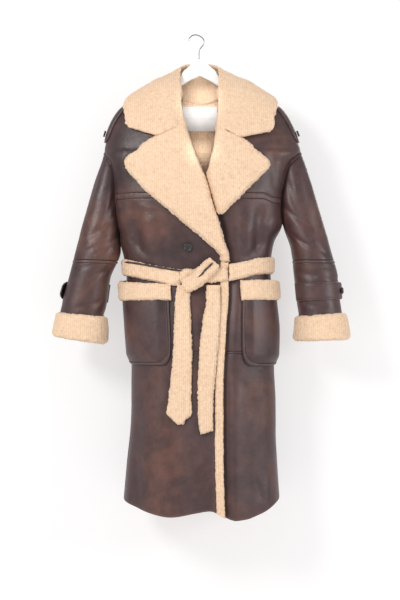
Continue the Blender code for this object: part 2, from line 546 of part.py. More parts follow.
# ---------------------------------------------------------------- collar
def side_beta(x, z, s):
    return {'F': float(beta_at(x, z)), 'B': float(beta_at(x, z, True)), 'R': 0.0, 'L': math.pi}[s]


# per station: 1 where the fall's lip turns in round the front's edge, 0 where it meets a stand; gap between lip and stand
LIP = ((1, 0), (1, 0), (1, 0), (1, 0), (1, 0), (1, 0.004), (0, 0.0035), (0, 0.002),
       (0, 0.0035), (1, 0.004), (1, 0), (1, 0), (1, 0), (1, 0), (1, 0))


def collar_lines(nu):
    """curves along the collar: neck seam, fold, outer side of the fold, then angle and level of the fall's rest, middle and edge"""
    free, laid = [], []
    for k, (zn, F, A, M, E) in enumerate(COLLAR):
        F = np.array(F)
        q = []
        for (x, zq, side) in (A, M, E):
            b = side_beta(x, zq, side)
            if k > 7:
                b = -math.pi if side == 'L' else (b - 2 * math.pi if b > 0 else b)
            q += [b, zq]
        laid.append(q)
        a = put(np.array(q[1]), np.array(q[0] if q[0] >= -math.pi else q[0] + 2 * math.pi), np.array(0.016))
        d = (a - F)[:2]
        F2 = F + np.array([*(d / np.linalg.norm(d) * 0.014), -0.002])
        side = -1 if k < 7 else 1
        if zn and k not in (4, 10):
            zq = np.array(zn)
            x = pchip(EDGE_R if side < 0 else EDGE_L, zq)
            b = beta_at(x, zq)
            q = 0.013 if k in (3, 11) else 0.004
            N = body(zq, b) - normal(zq, b) * 0.0045 + np.array([-side * q, 0.0, 0.0])
        elif zn:
            N = body(np.array(-0.120), np.array(0.0 if side < 0 else math.pi)) + np.array([-side * 0.017, 0.0, 0.0050])
        else:
            ang = -math.pi * (k - 4) / 6
            dr = float(pchip(NECK_DROP, 1 - abs(abs(ang) - math.pi / 2) / (math.pi / 2)))
            N = body(np.array(-0.120 - dr), np.array(ang)) + np.array([0.0, -0.0020, 0.0050])
        P0 = N if LIP[k][0] else F + np.array([0.0, 0.0, -0.014])
        free.append(np.concatenate([N, F, F2, P0, [LIP[k][1]]]))
    return spline(np.array(free), nu), spline(np.array(laid), nu)


def collar_fall(nu, nw):
    """both sides of the fall, from the lip inside the fold to the outer edge"""
    seen, under = [], []
    for f, q in zip(*collar_lines(nu)):
        d = f[6:9] - f[3:6]
        d = np.array([d[0], d[1], 0.0]) / np.linalg.norm(d[:2])
        up = np.array([0.0, 0.0, 1.0])
        g = f[9:12] - f[3:6]
        g = f[3:6] + g * min(0.5, 0.016 / np.linalg.norm(g))
        pts = [f[9:12], g, f[3:6], f[6:9]]
        low = [f[9:12] + d * 0.0045, g + d * 0.0050 - up * 0.0015, f[3:6] + d * 0.0055 - up * 0.0055, f[6:9] - d * 0.0005 - up * 0.0065]
        for b, zq, h, t in ((q[0], q[1], 0.0165, 0.0080), ((q[0] + q[2]) / 2, (q[1] + q[3]) / 2, 0.0158, 0.0092), (q[2], q[3], 0.0152, FLEECE),
                            ((q[2] + q[4]) / 2, (q[3] + q[5]) / 2, 0.0148, FLEECE), (q[4], q[5], 0.0145, FLEECE)):
            b = b + 2 * math.pi if b < -math.pi else b
            pts.append(put(np.array(zq), np.array(b), np.array(h)))
            low.append(put(np.array(zq), np.array(b), np.array(h - t)))
        seen.append(spline(np.array(pts), nw))
        under.append(spline(np.array(low), nw))
    return np.array(seen), np.array(under)


def collar_stand(nu, nw, first, last):
    """neck side of the stand, from the neck seam up to the fall's lip"""
    f = collar_lines(nu)[0][first:last]
    N = f[:, 0:3]
    top = f[:, 9:12] - f[:, 12:13] * np.array([0.0, 0.0, 1.0])
    t = np.linspace(0, 1, nw)
    return N[:, None] + (top - N)[:, None] * t[None, :, None]


V, U = collar_fall(29, 12)
uu, ww = np.meshgrid(np.linspace(0, 1, V.shape[0]), np.linspace(0, 1, V.shape[1]), indexing='ij')

q = 1 - pillow(uu, 1 - 0.5 * (1 - ww), 0.03, 0.05, 0.4)
q = q[..., None]
mid = (V + U) / 2
wall('collar', V + (mid - V) * q, U + (mid - U) * q, 'fleece')

V = collar_stand(29, 4, 11, 18)
n = grid_normal(V)
if n[3, 1, 1] > 0:
    n = -n
wall('collar_stand', V, V - n * 0.0045, 'fleece')

# ---------------------------------------------------------------- lapels and edge band


def lapel(name, table, side, under):
    z = table[:, 0]
    xo, xi = table[:, 1], table[:, 2]
    span = np.abs(xi - xo)
    f = np.array([0.0, 0.10, 0.38, 0.68])
    X = [xo + (xi - xo) * q for q in f]
    t = np.minimum(0.019, span * 0.22)
    X += [xi + side * t * 1.0, xi + side * np.minimum(0.0088, span * 0.12), xi]
    X = np.stack(X, 1)
    Z = np.repeat(z[:, None], X.shape[1], 1)
    up = np.array([0.0070, 0.0120, 0.0135, 0.0140, 0.0150, 0.0140, 0.0045])
    dn = np.array([0.0030, 0.0022, 0.0022, 0.0022, 0.0022, 0.0022, -0.0050])
    e = np.ones(len(z)); e[0] = e[-1] = 0.55
    U = dn[None] + (up - dn)[None] * e[:, None]
    B = beta_at(X, Z)
    D = np.repeat(dn[None], len(z), 0)
    if under:
        low = z < -0.372
        D[low, -1], U[low, -1] = 0.0026, 0.0070
        s = sink(X + 0.008, Z) - 0.0008
        U, D = U - s, D - s
    return wall(name, put(Z, B, U), put(Z, B, D), 'fleece')


lapel('lapel_right', LAPEL_R, -1, False)
lapel('lapel_left', LAPEL_L, 1, True)

z = np.array([-0.604, -0.625, -0.66, -0.701, -0.75, -0.81, -0.865, -0.93, -1.00, -1.06, -1.12, -1.18, -1.226])
E = pchip(EDGE_R, z)
X = np.stack([E - 0.0205, E - 0.016, E - 0.005, E], 1)
Z = np.repeat(z[:, None], 4, 1)
Z = hem_z(Z, X, False)
B = beta_at(X, Z)
wall('front_edge_band', put(Z, B, np.array([0.0, 0.003, 0.003, -0.001]) + 0 * Z), put(Z, B, np.array([-0.0055, -0.0075, -0.0075, -0.0045]) + 0 * Z), 'fleece')

# ---------------------------------------------------------------- pockets


def pocket(name, table, side):
    z = table[:, 0]
    u = np.array([0.0, 0.06, 0.13, 0.22, 0.34, 0.5, 0.68, 0.85, 0.94, 1.0])
    a0 = np.radians(table[:, 1])
    a1 = beta_at(table[:, 2], z)
    if side > 0:
        a0 = math.pi - a0
    B = a0[:, None] + (a1 - a0)[:, None] * u
    Z = np.repeat(z[:, None], len(u), 1)
    e = np.minimum(smooth(np.minimum(u, 1 - u) / 0.16)[None], smooth((z - z[-1]) / 0.03)[:, None])
    out, inn = 0.0056 + 0.0084 * e, 0.0024 + 0.0064 * e
    sgn = B if side < 0 else math.pi - B
    Pn = lambda h: put(Z, np.clip(B, 0.0, math.pi), h) * (sgn >= 0)[..., None] + put(Z, np.where(B < math.pi, np.minimum(B, -1e-4), -(2 * math.pi - B)), h) * (sgn < 0)[..., None]
    wall('pocket_' + name, Pn(out), Pn(inn), 'leather')


def band(name, levels, table, side):
    u = np.array([0.0, 0.06, 0.14, 0.24, 0.4, 0.65, 0.85, 0.95, 1.0])
    a0 = math.radians(-7.0)
    zm = -0.68
    a1 = float(beta_at(table[0, 2] - side * 0.003, zm))
    a0 = a0 if side < 0 else math.pi - a0
    b = a0 + (a1 - a0) * u
    v = np.array([0.0, 0.14, 0.5, 0.86, 1.0])
    top = levels[0] + (levels[1] - levels[0]) * u
    Z = top[None] + (levels[2] - top)[None] * v[:, None]
    B = np.repeat(b[None], len(v), 0)
    e = smooth(np.minimum(u, 1 - u) / 0.16)[None]
    p = pillow(0.5 + 0 * u[None], v[:, None], 0.3, 0.14, 0.0)
    out = (0.0120 + 0.0118 * e) + (p - 1) * 0.004
    inn = 0.0022 + 0.0115 * e + 0 * v[:, None]
    sgn = B if side < 0 else math.pi - B
    Pn = lambda h: put(Z, np.clip(B, 0.0, math.pi), h) * (sgn >= 0)[..., None] + put(Z, np.where(B < math.pi, np.minimum(B, -1e-4), -(2 * math.pi - B)), h) * (sgn < 0)[..., None]
    wall('pocket_band_' + name, Pn(out), Pn(inn), 'fleece')


pocket('right', POCKET_R, -1)
pocket('left', POCKET_L, 1)
band('right', BAND_R, POCKET_R, -1)
band('left', BAND_L, POCKET_L, 1)

# ---------------------------------------------------------------- belt


def belt_run(name, b0, b1, cols, lift):
    b = np.linspace(b0, b1, cols)
    back = b0 < -1e-9
    xs = body(np.full(cols, -0.625), b)[:, 0]
    zc = pchip(BELT_LINE_F, xs) if not back else -0.615 + 0 * xs
    if back:
        zc = np.interp(xs, [-0.19, 0.20], [-0.6155, -0.6095])
    v = np.array([-1.0, -0.75, 0.0, 0.75, 1.0])
    Z = zc[None] + v[:, None] * BELT_W / 2
    B = np.repeat(b[None], len(v), 0)
    p = np.array([0.3, 1.0, 1.0, 1.0, 0.3])[:, None] + 0 * Z
    inn = np.asarray(lift)[None] + 0 * Z
    wall(name, put(Z, B, inn + 0.0015 + (BELT_T - 0.0015) * p), put(Z, B, inn), 'fleece')


bR = float(beta_at(-0.0405, -0.645))
bL = float(beta_at(0.0850, -0.630))
belt_run('belt_run_right', 0.012, bR, 9, np.full(9, 0.002))
belt_run('belt_run_left', bL, math.pi - 0.012, 9, np.interp(np.linspace(0, 1, 9), [0, 0.3], [0.0045, 0.002]))
belt_run('belt_back', -math.pi + 0.012, -0.012, 17, np.full(17, 0.002))


def bar(name, path, width, lift0, lift1, cross=5, samples=9, ends=0.5):
    """strap lying over the front along a path of (x, z)"""
    P = spline(np.array([(a, 0.0, b) for a, b in path]), samples)
    D = np.gradient(P, axis=0); D /= np.linalg.norm(D, axis=1, keepdims=True)
    q = np.stack([-D[:, 2], D[:, 0]], 1)
    v = np.array([-1.0, -0.78, 0.0, 0.78, 1.0])
    w = np.interp(np.linspace(0, 1, samples), np.linspace(0, 1, len(width)), width)
    X = P[:, 0][:, None] + q[:, 0][:, None] * v * w[:, None] / 2
    Z = P[:, 2][:, None] + q[:, 1][:, None] * v * w[:, None] / 2
    B = beta_at(X, Z)
    t = np.linspace(0, 1, samples)
    e = np.interp(t, [0, 0.12, 0.88, 1], [ends, 1, 1, ends])[:, None]
    p = np.array([0.35, 1, 1, 1, 0.35])[None] * e
    l0 = np.interp(t, np.linspace(0, 1, len(lift0)), lift0)[:, None] + 0 * X
    l1 = np.interp(t, np.linspace(0, 1, len(lift1)), lift1)[:, None] + 0 * X
    wall(name, put(Z, B, l0 + 0.0012 + (l1 - l0 - 0.0012) * p), put(Z, B, l0), 'fleece')


bar('belt_knot_under', [(-0.0395, -0.640), (0.020, -0.640), (0.0800, -0.633)], (0.036, 0.034, 0.037), (0.0045, 0.0055, 0.0045), (0.0135, 0.0135, 0.0135), samples=8)
bar('belt_knot_over', [(-0.026, -0.672), (0.003, -0.647), (0.024, -0.625), (0.048, -0.600)], (0.034, 0.040, 0.034), (0.0145, 0.0145, 0.0165), (0.024, 0.028, 0.027), samples=8)


def tail(name, table, lift):
    T = np.array(table)
    z = T[:, 0]
    v = np.array([0.0, 0.12, 0.5, 0.88, 1.0])
    X = T[:, 1][:, None] + (T[:, 2] - T[:, 1])[:, None] * v
    Z = T[:, 0][:, None] + (T[:, 3])[:, None] * v
    B = beta_at(X, Z)
    p = np.array([0.3, 1, 1, 1, 0.3])[None] * np.ones((len(z), 1))
    p[-1] *= 0.4
    l0 = lift + 0 * X
    wall(name, put(Z, B, l0 + 0.0012 + (BELT_T - 0.0012) * p), put(Z, B, l0), 'fleece')


# tails: level of the right edge, x of both edges, how much higher or lower the far edge is
tail('belt_tail_right', [(-0.664, -0.046, -0.017, 0), (-0.70, -0.051, -0.0165, 0), (-0.75, -0.053, -0.0145, 0), (-0.835, -0.056, -0.012, 0), (-0.903, -0.062, -0.013, 0),
                         (-0.96, -0.069, -0.013, 0), (-0.990, -0.073, -0.013, 0), (-1.006, -0.060, -0.026, 0), (-1.019, -0.046, -0.034, 0)], 0.003)
tail('belt_tail_left', [(-0.665, 0.028, 0.060, 0), (-0.70, 0.028, 0.0615, 0), (-0.744, 0.021, 0.060, 0), (-0.824, 0.012, 0.054, 0), (-0.88, 0.008, 0.049, 0),
                        (-0.931, 0.007, 0.044, 0), (-0.98, 0.0075, 0.042, 0), (-1.020, 0.009, 0.041, 0.002), (-1.043, 0.013, 0.041, 0.009)], 0.005)

# ---------------------------------------------------------------- straps, buttons, label


def epaulette(name, side):
    z = np.array([-0.193, -0.205, -0.222, -0.245, -0.264, -0.277, -0.286])
    half = np.array([0.021, 0.021, 0.0215, 0.022, 0.022, 0.021, 0.012])
    v = np.array([-1.0, -0.5, 0.0, 0.5, 1.0])
    y = -0.010 + half[:, None] * v
    Z = np.repeat(z[:, None], 5, 1)
    d = np.where(y < 0, col(BODY, 3, Z), col(BODY, 4, Z))
    b = np.sign(-y) * np.arcsin((np.abs(y) / d) ** (col(BODY, 5, Z) / 2))
    p = body(Z, b); n = normal(Z, b)
    if side > 0:
        bb = np.where(b >= 0, math.pi - b, -math.pi - b)
        p = body(Z, bb); n = normal(Z, bb)
    wall('epaulette_' + name, p + n * 0.0050, p + n * 0.0012, 'leather')
    k = body(np.array(-0.264), np.array(b[4, 2] if side < 0 else math.pi - b[4, 2]))
    m = normal(np.array(-0.264), np.array(b[4, 2] if side < 0 else math.pi - b[4, 2]))
    button('epaulette_button_' + name, k + m * 0.0062, m, SMALL_R, 0.0045)


epaulette('right', -1)
epaulette('left', 1)


def cuff_strap(name, side, a_tip, a_end, level, tip_lift, b_ang):
    phi = np.radians(np.linspace(a_tip, a_end, 13))
    t = np.linspace(0, 1, 13)
    half = np.interp(t, [0, 0.06, 0.12, 1], [0.010, 0.019, 0.0235, 0.0235])
    v = np.array([-1.0, -0.5, 0.0, 0.5, 1.0])
    Z = level + v[:, None] * half[None]
    F = np.repeat(phi[None], 5, 0)
    h = np.interp(t, [0, 0.09, 0.2], [tip_lift, 0.35 * tip_lift, 0.0])[None] + 0 * Z
    P = ring(Z, F, side)
    Q = ring(Z[:, :, None] + np.array([0.003, -0.003, 0, 0]), F[:, :, None] + np.array([0, 0, 0.03, -0.03]), side)
    n = np.cross(Q[:, :, 0] - Q[:, :, 1], Q[:, :, 2] - Q[:, :, 3])
    n /= np.linalg.norm(n, axis=-1, keepdims=True)
    mid = np.array([(ring(level, 0.0, side)[0] + ring(level, math.pi, side)[0]) / 2, ring(level, 0.0, side)[1]])
    s = np.sign(np.sum(n[..., :2] * (P[..., :2] - mid), -1))
    n = n * s[..., None]
    wall('cuff_strap_' + name, P + n * (h + 0.0050)[..., None], P + n * (h + 0.0012)[..., None], 'leather')
    j = np.argmin(np.abs(np.degrees(phi) - b_ang))
    button('cuff_button_' + name, P[2, j] + n[2, j] * (h[2, j] + 0.0062), n[2, j], SMALL_R, 0.0045)


cuff_strap('left', 1, -14, 166, -0.678, 0.007, 16)
cuff_strap('right', -1, 14, -166, -0.680, 0.008, -16)

zq, xq = np.array(-0.565), -0.021
bq = beta_at(xq, zq)
button('front_button', body(zq, bq) + normal(zq, bq) * 0.0012, normal(zq, bq), BUTTON_R, 0.005, seg=24)

z = np.linspace(-0.1785, -0.244, 4)
x = np.linspace(-0.037, 0.057, 5)
X, Z = np.meshgrid(x, z)
B = beta_at(X, Z, True)
wall('neck_label', put(Z, B, 0 * Z - 0.0068), put(Z, B, 0 * Z - 0.0078), 'label_cloth')

# ---------------------------------------------------------------- hanger
TOP = [(0.008, -0.0624), (-0.002, -0.0665), (-0.019, -0.083), (-0.034, -0.0965), (-0.048, -0.1235), (-0.066, -0.1350), (-0.100, -0.1460), (-0.125, -0.1585), (-0.160, -0.1815), (-0.182, -0.2020)]
LOW = [(0.008, -0.1084), (-0.016, -0.120), (-0.045, -0.138), (-0.090, -0.165), (-0.130, -0.188), (-0.165, -0.208), (-0.184, -0.2140)]
MX = 0.0095
left = [(2 * MX - a + 0.0004 * i, b) for i, (a, b) in enumerate(TOP)]
leftl = [(2 * MX - a + 0.0004 * i, b) for i, (a, b) in enumerate(LOW)]
outline = TOP + LOW[::-1] + leftl[1:] + left[::-1][:-1]
me = bpy.data.meshes.new('hanger_wood'); bm = bmesh.new()
loops = []
cx = np.array([sum(a for a, b in outline) / len(outline), sum(b for a, b in outline) / len(outline)])
for y, k in ((-WOOD_T / 2, 0.0022), (-WOOD_T / 2 + 0.003, 0.0), (WOOD_T / 2 - 0.003, 0.0), (WOOD_T / 2, 0.0022)):
    O = np.array(outline)
    t = np.roll(O, -1, 0) - np.roll(O, 1, 0); t /= np.linalg.norm(t, axis=1, keepdims=True)
    nrm = np.stack([-t[:, 1], t[:, 0]], 1)
    loops.append([bm.verts.new((p[0] + k * q[0], y, p[1] + k * q[1])) for p, q in zip(O, nrm)])
for a, b in zip(loops, loops[1:]):
    for i in range(len(a)):
        j = (i + 1) % len(a)
        bm.faces.new((a[i], a[j], b[j], b[i]))
f0 = bm.faces.new(loops[0]); f1 = bm.faces.new(loops[-1])
bmesh.ops.recalc_face_normals(bm, faces=bm.faces)
bmesh.ops.triangulate(bm, faces=bm.faces)
if bm.calc_volume(signed=True) < 0:
    bmesh.ops.reverse_faces(bm, faces=bm.faces)
bm.to_mesh(me); bm.free()
me.materials.append(MATS['hanger_paint'])
wood = bpy.data.objects.new('hanger_wood', me)
bpy.context.scene.collection.objects.link(wood)

hook = [(-0.0200, -0.0140), (-0.0165, -0.0060), (-0.0095, 0.0000), (0.0, 0.0016), (0.0090, -0.0010), (0.0175, -0.0070), (0.0210, -0.0145),
        (0.0195, -0.0240), (0.0145, -0.0310), (0.0100, -0.0370), (0.0083, -0.0440), (0.0080, -0.0540), (0.0080, -0.0620)]
sweep('hanger_hook', spline([(a, 0.0, b) for a, b in hook], 40), HOOK_R, 'hook_wire')

total = 0
for o in bpy.data.objects:
    if o.type == 'MESH':
        n = sum(len(p.vertices) - 2 for p in o.data.polygons)
        total += n
        print(o.name, n)
print('triangles', total)
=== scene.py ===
# Shearling coat with its fleece belt on a white wooden hanger: the looks.
# Row frame, metres, +Z up, front towards -Y, origin inside the top of the hanger's hook.
import bpy, bmesh, math
import numpy as np
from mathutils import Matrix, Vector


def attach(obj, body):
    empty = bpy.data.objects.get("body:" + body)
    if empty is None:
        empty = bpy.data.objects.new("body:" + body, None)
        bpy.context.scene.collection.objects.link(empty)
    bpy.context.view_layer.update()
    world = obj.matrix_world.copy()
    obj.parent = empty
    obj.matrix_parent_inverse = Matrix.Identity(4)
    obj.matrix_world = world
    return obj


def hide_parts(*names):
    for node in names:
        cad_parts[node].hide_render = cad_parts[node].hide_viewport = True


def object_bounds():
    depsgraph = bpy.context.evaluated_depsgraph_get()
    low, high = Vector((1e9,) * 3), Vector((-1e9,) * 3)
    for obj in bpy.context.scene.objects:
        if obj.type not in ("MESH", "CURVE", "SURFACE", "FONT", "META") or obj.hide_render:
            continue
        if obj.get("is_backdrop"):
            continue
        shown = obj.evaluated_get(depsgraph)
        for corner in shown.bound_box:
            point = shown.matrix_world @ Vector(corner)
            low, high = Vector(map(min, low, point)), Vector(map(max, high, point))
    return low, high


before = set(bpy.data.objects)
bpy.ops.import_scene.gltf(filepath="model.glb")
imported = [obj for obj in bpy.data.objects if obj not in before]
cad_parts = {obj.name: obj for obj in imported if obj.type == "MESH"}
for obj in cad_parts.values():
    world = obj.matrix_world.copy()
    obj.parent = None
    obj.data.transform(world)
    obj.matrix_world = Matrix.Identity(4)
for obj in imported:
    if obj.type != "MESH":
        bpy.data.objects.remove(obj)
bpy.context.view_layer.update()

# ---------------------------------------------------------------- sizes
PANEL = 0.0055        # shearling wall: hide and clipped fleece
FLEECE = 0.010        # full pile of collar, lapels and cuffs
BELT_T = 0.008        # belt thickness
GAP = 0.0005          # clearance between sewn pieces
XM = 0.013            # middle of the body
HOOK_R = 0.0016       # hook wire radius
WOOD_T = 0.012        # hanger wood thickness
BUTTON_R = 0.0115     # front button radius
SMALL_R = 0.0085      # strap button radius

# Body sections: level, right side x, left side x, front depth, back depth, squareness
BODY = np.array([
    (-0.120, -0.070, 0.094, 0.030, 0.048, 2.2),
    (-0.132, -0.098, 0.124, 0.038, 0.054, 2.2),
    (-0.146, -0.125, 0.150, 0.046, 0.058, 2.2),
    (-0.168, -0.162, 0.186, 0.056, 0.062, 2.3),
    (-0.190, -0.190, 0.216, 0.065, 0.066, 2.3),
    (-0.213, -0.210, 0.236, 0.074, 0.070, 2.3),
    (-0.245, -0.227, 0.254, 0.085, 0.075, 2.3),
    (-0.277, -0.237, 0.267, 0.094, 0.078, 2.3),
    (-0.309, -0.242, 0.277, 0.100, 0.081, 2.3),
    (-0.345, -0.219, 0.236, 0.104, 0.083, 2.3),
    (-0.386, -0.212, 0.224, 0.106, 0.084, 2.3),
    (-0.440, -0.209, 0.222, 0.107, 0.085, 2.4),
    (-0.490, -0.207, 0.219, 0.105, 0.083, 2.4),
    (-0.531, -0.203, 0.211, 0.101, 0.081, 2.4),
    (-0.566, -0.196, 0.202, 0.096, 0.078, 2.4),
    (-0.595, -0.190, 0.198, 0.093, 0.076, 2.4),
    (-0.625, -0.185, 0.197, 0.091, 0.075, 2.4),
    (-0.701, -0.181, 0.201, 0.099, 0.080, 2.4),
    (-0.781, -0.175, 0.207, 0.106, 0.085, 2.4),
    (-0.865, -0.170, 0.206, 0.109, 0.088, 2.4),
    (-0.966, -0.171, 0.210, 0.112, 0.091, 2.4),
    (-1.038, -0.174, 0.210, 0.115, 0.093, 2.4),
    (-1.125, -0.182, 0.214, 0.119, 0.096, 2.4),
    (-1.226, -0.191, 0.221, 0.125, 0.100, 2.4),
])
HEM_Z = -1.226
# Front hem: place across the front, how far it hangs below the side of the hem
HEM_FRONT = np.array([(-0.191, 0.001), (-0.152, 0.014), (-0.109, 0.025), (-0.064, 0.032), (0.001, 0.020),
                      (0.036, 0.015), (0.077, 0.033), (0.101, 0.040), (0.132, 0.038), (0.168, 0.028), (0.221, -0.003)])
# Back hem: place across, drop
HEM_BACK = np.array([(-0.191, 0.001), (-0.12, 0.010), (-0.05, 0.003), (0.02, 0.012), (0.09, 0.004), (0.16, 0.011), (0.221, -0.003)])
# Back neckline: place round the neck from its side (0) to centre back (1), drop below the neck point
NECK_DROP = np.array([(0.0, 0.0), (0.25, 0.002), (0.5, 0.013), (0.75, 0.036), (1.0, 0.053)])

# Arm sections: level, outer x, inner x, front depth, back depth, middle y, ring tilt (drop per metre inwards)
ARM_R = np.array([
    (-0.309, -0.242, -0.207, 0.020, 0.022, 0.000, 0.00),
    (-0.338, -0.250, -0.202, 0.036, 0.036, 0.000, 0.00),
    (-0.383, -0.266, -0.201, 0.046, 0.045, 0.000, 0.00),
    (-0.436, -0.282, -0.203, 0.052, 0.050, -0.001, 0.00),
    (-0.508, -0.302, -0.203, 0.056, 0.054, -0.003, 0.00),
    (-0.569, -0.317, -0.199, 0.060, 0.056, -0.006, 0.02),
    (-0.643, -0.335, -0.227, 0.058, 0.054, -0.010, 0.05),
    (-0.717, -0.354, -0.238, 0.056, 0.052, -0.014, 0.08),
    (-0.740, -0.358, -0.244, 0.055, 0.051, -0.015, 0.09),
    (-0.810, -0.371, -0.243, 0.060, 0.056, -0.018, 0.16),
])
ARM_L = np.array([
    (-0.309, 0.277, 0.233, 0.020, 0.022, 0.000, 0.00),
    (-0.340, 0.289, 0.224, 0.036, 0.036, 0.000, 0.00),
    (-0.380, 0.302, 0.222, 0.046, 0.045, 0.000, 0.00),
    (-0.436, 0.319, 0.218, 0.052, 0.050, -0.001, 0.00),
    (-0.508, 0.339, 0.232, 0.056, 0.054, -0.003, 0.00),
    (-0.569, 0.356, 0.252, 0.060, 0.056, -0.006, 0.00),
    (-0.643, 0.375, 0.260, 0.058, 0.054, -0.010, 0.01),
    (-0.703, 0.379, 0.266, 0.056, 0.052, -0.014, 0.04),
    (-0.735, 0.384, 0.271, 0.055, 0.051, -0.015, 0.07),
    (-0.800, 0.396, 0.266, 0.060, 0.056, -0.018, 0.03),
])
# Armhole seam: angle round the arm from its outer side (degrees), level of the seam
HOLE_R = np.array([(0, -0.309), (22.5, -0.311), (45, -0.316), (67.5, -0.324), (90, -0.335), (112.5, -0.356), (135, -0.405), (157.5, -0.492), (180, -0.528)])
HOLE_L = np.array([(0, -0.309), (22.5, -0.310), (45, -0.313), (67.5, -0.319), (90, -0.328), (112.5, -0.341), (135, -0.372), (157.5, -0.450), (180, -0.497)])
ARM_COLS = 16

# Roll line of the right front and, below the belt, its edge: level, x
EDGE_R = np.array([(-0.120, -0.049), (-0.160, -0.048), (-0.205, -0.041), (-0.254, -0.026), (-0.329, 0.000), (-0.391, 0.026),
                   (-0.462, 0.046), (-0.524, 0.067), (-0.558, 0.074), (-0.589, 0.085), (-0.625, 0.084), (-0.675, 0.084),
                   (-0.768, 0.078), (-0.834, 0.074), (-0.926, 0.070), (-1.077, 0.070), (-1.251, 0.075)])
# Roll line of the left front and the hidden run of its edge: level, x
EDGE_L = np.array([(-0.120, 0.072), (-0.160, 0.069), (-0.205, 0.063), (-0.258, 0.053), (-0.306, 0.047), (-0.356, 0.034), (-0.385, 0.027),
                   (-0.450, 0.000), (-0.530, -0.030), (-0.600, -0.050), (-0.700, -0.052), (-1.251, -0.050)])
# Largest folds: side of the coat (1 front, -1 back), upper x and level, lower x and level, half width, height (below 0 a trough)
FOLDS = (
    (1, -0.168, -0.440, -0.146, -0.592, 0.016, -0.0075), (1, -0.120, -0.470, -0.116, -0.585, 0.020, 0.0040),
    (1, 0.170, -0.445, 0.160, -0.592, 0.015, -0.0075), (1, 0.130, -0.500, 0.136, -0.590, 0.018, 0.0035),
    (1, -0.040, -0.720, -0.052, -1.226, 0.026, -0.0045), (1, -0.100, -0.905, -0.094, -1.226, 0.030, 0.0045),
    (1, 0.104, -0.870, 0.100, -1.226, 0.020, 0.0045), (1, 0.152, -0.905, 0.158, -1.226, 0.022, -0.0055),
    (1, -0.150, -0.900, -0.158, -1.226, 0.018, -0.0045),
    (-1, -0.120, -0.400, -0.100, -0.588, 0.018, -0.0070), (-1, 0.030, -0.470, 0.020, -0.588, 0.020, -0.0050),
    (-1, 0.140, -0.410, 0.118, -0.588, 0.017, -0.0070), (-1, -0.070, -0.650, -0.100, -1.226, 0.030, -0.0070),
    (-1, 0.010, -0.700, 0.014, -1.226, 0.028, 0.0050), (-1, 0.090, -0.650, 0.118, -1.226, 0.028, -0.0065),
)

# Lapels: level, outer edge x, inner edge x
LAPEL_R = np.array([(-0.259, -0.036, -0.0245), (-0.267, -0.058, -0.0215), (-0.284, -0.097, -0.0155), (-0.300, -0.126, -0.010), (-0.316, -0.150, -0.0045),
                    (-0.333, -0.1775, 0.0015), (-0.344, -0.182, 0.006), (-0.361, -0.177, 0.0135), (-0.388, -0.155, 0.025), (-0.416, -0.131, 0.033),
                    (-0.458, -0.081, 0.0445), (-0.485, -0.050, 0.0535), (-0.511, -0.019, 0.0625), (-0.551, 0.029, 0.073), (-0.582, 0.060, 0.084), (-0.601, 0.067, 0.0855)])
LAPEL_L = np.array([(-0.264, 0.065, 0.052), (-0.275, 0.082, 0.0505), (-0.290, 0.112, 0.049), (-0.300, 0.129, 0.0475), (-0.311, 0.145, 0.0455),
                    (-0.333, 0.178, 0.0395), (-0.344, 0.189, 0.037), (-0.358, 0.187, 0.034), (-0.379, 0.167, 0.029), (-0.413, 0.133, 0.038),
                    (-0.444, 0.103, 0.0465), (-0.462, 0.084, 0.0515), (-0.480, 0.069, 0.0575)])

# Collar stations from the right front end round the back to the left front end.
# neck seam level (fronts), fold point (x, y, z); rest, middle and edge points of the fall as (x, level, side), side F front, R right ridge, B back, L left ridge
COLLAR = (
    (-0.256, (-0.030, -0.097, -0.252), (-0.050, -0.259, 'F'), (-0.096, -0.278, 'F'), (-0.168, -0.256, 'F')),
    (-0.224, (-0.036, -0.084, -0.216), (-0.062, -0.222, 'F'), (-0.115, -0.240, 'F'), (-0.178, -0.240, 'F')),
    (-0.190, (-0.0405, -0.068, -0.178), (-0.072, -0.188, 'F'), (-0.122, -0.204, 'F'), (-0.1795, -0.220, 'F')),
    (-0.155, (-0.0425, -0.040, -0.130), (-0.078, -0.156, 'F'), (-0.122, -0.174, 'F'), (-0.1840, -0.199, 'F')),
    (-0.120, (-0.041, 0.002, -0.092), (0, -0.132, 'R'), (0, -0.150, 'R'), (0, -0.178, 'R')),
    (0, (-0.034, 0.026, -0.080), (-0.070, -0.142, 'B'), (-0.105, -0.170, 'B'), (-0.143, -0.205, 'B')),
    (0, (-0.014, 0.041, -0.073), (-0.035, -0.158, 'B'), (-0.055, -0.188, 'B'), (-0.075, -0.225, 'B')),
    (0, (0.010, 0.046, -0.072), (0.010, -0.166, 'B'), (0.010, -0.198, 'B'), (0.010, -0.232, 'B')),
    (0, (0.034, 0.041, -0.073), (0.055, -0.158, 'B'), (0.076, -0.188, 'B'), (0.097, -0.225, 'B')),
    (0, (0.053, 0.026, -0.080), (0.090, -0.142, 'B'), (0.127, -0.170, 'B'), (0.166, -0.205, 'B')),
    (-0.120, (0.060, 0.002, -0.092), (0, -0.132, 'L'), (0, -0.150, 'L'), (0, -0.180, 'L')),
    (-0.155, (0.0615, -0.040, -0.131), (0.098, -0.156, 'F'), (0.144, -0.176, 'F'), (0.2060, -0.204, 'F')),
    (-0.192, (0.060, -0.068, -0.180), (0.090, -0.190, 'F'), (0.141, -0.210, 'F'), (0.200, -0.228, 'F')),
    (-0.228, (0.058, -0.086, -0.220), (0.082, -0.226, 'F'), (0.132, -0.247, 'F'), (0.1985, -0.250, 'F')),
    (-0.262, (0.056, -0.098, -0.257), (0.074, -0.264, 'F'), (0.110, -0.283, 'F'), (0.188, -0.2665, 'F')),
)

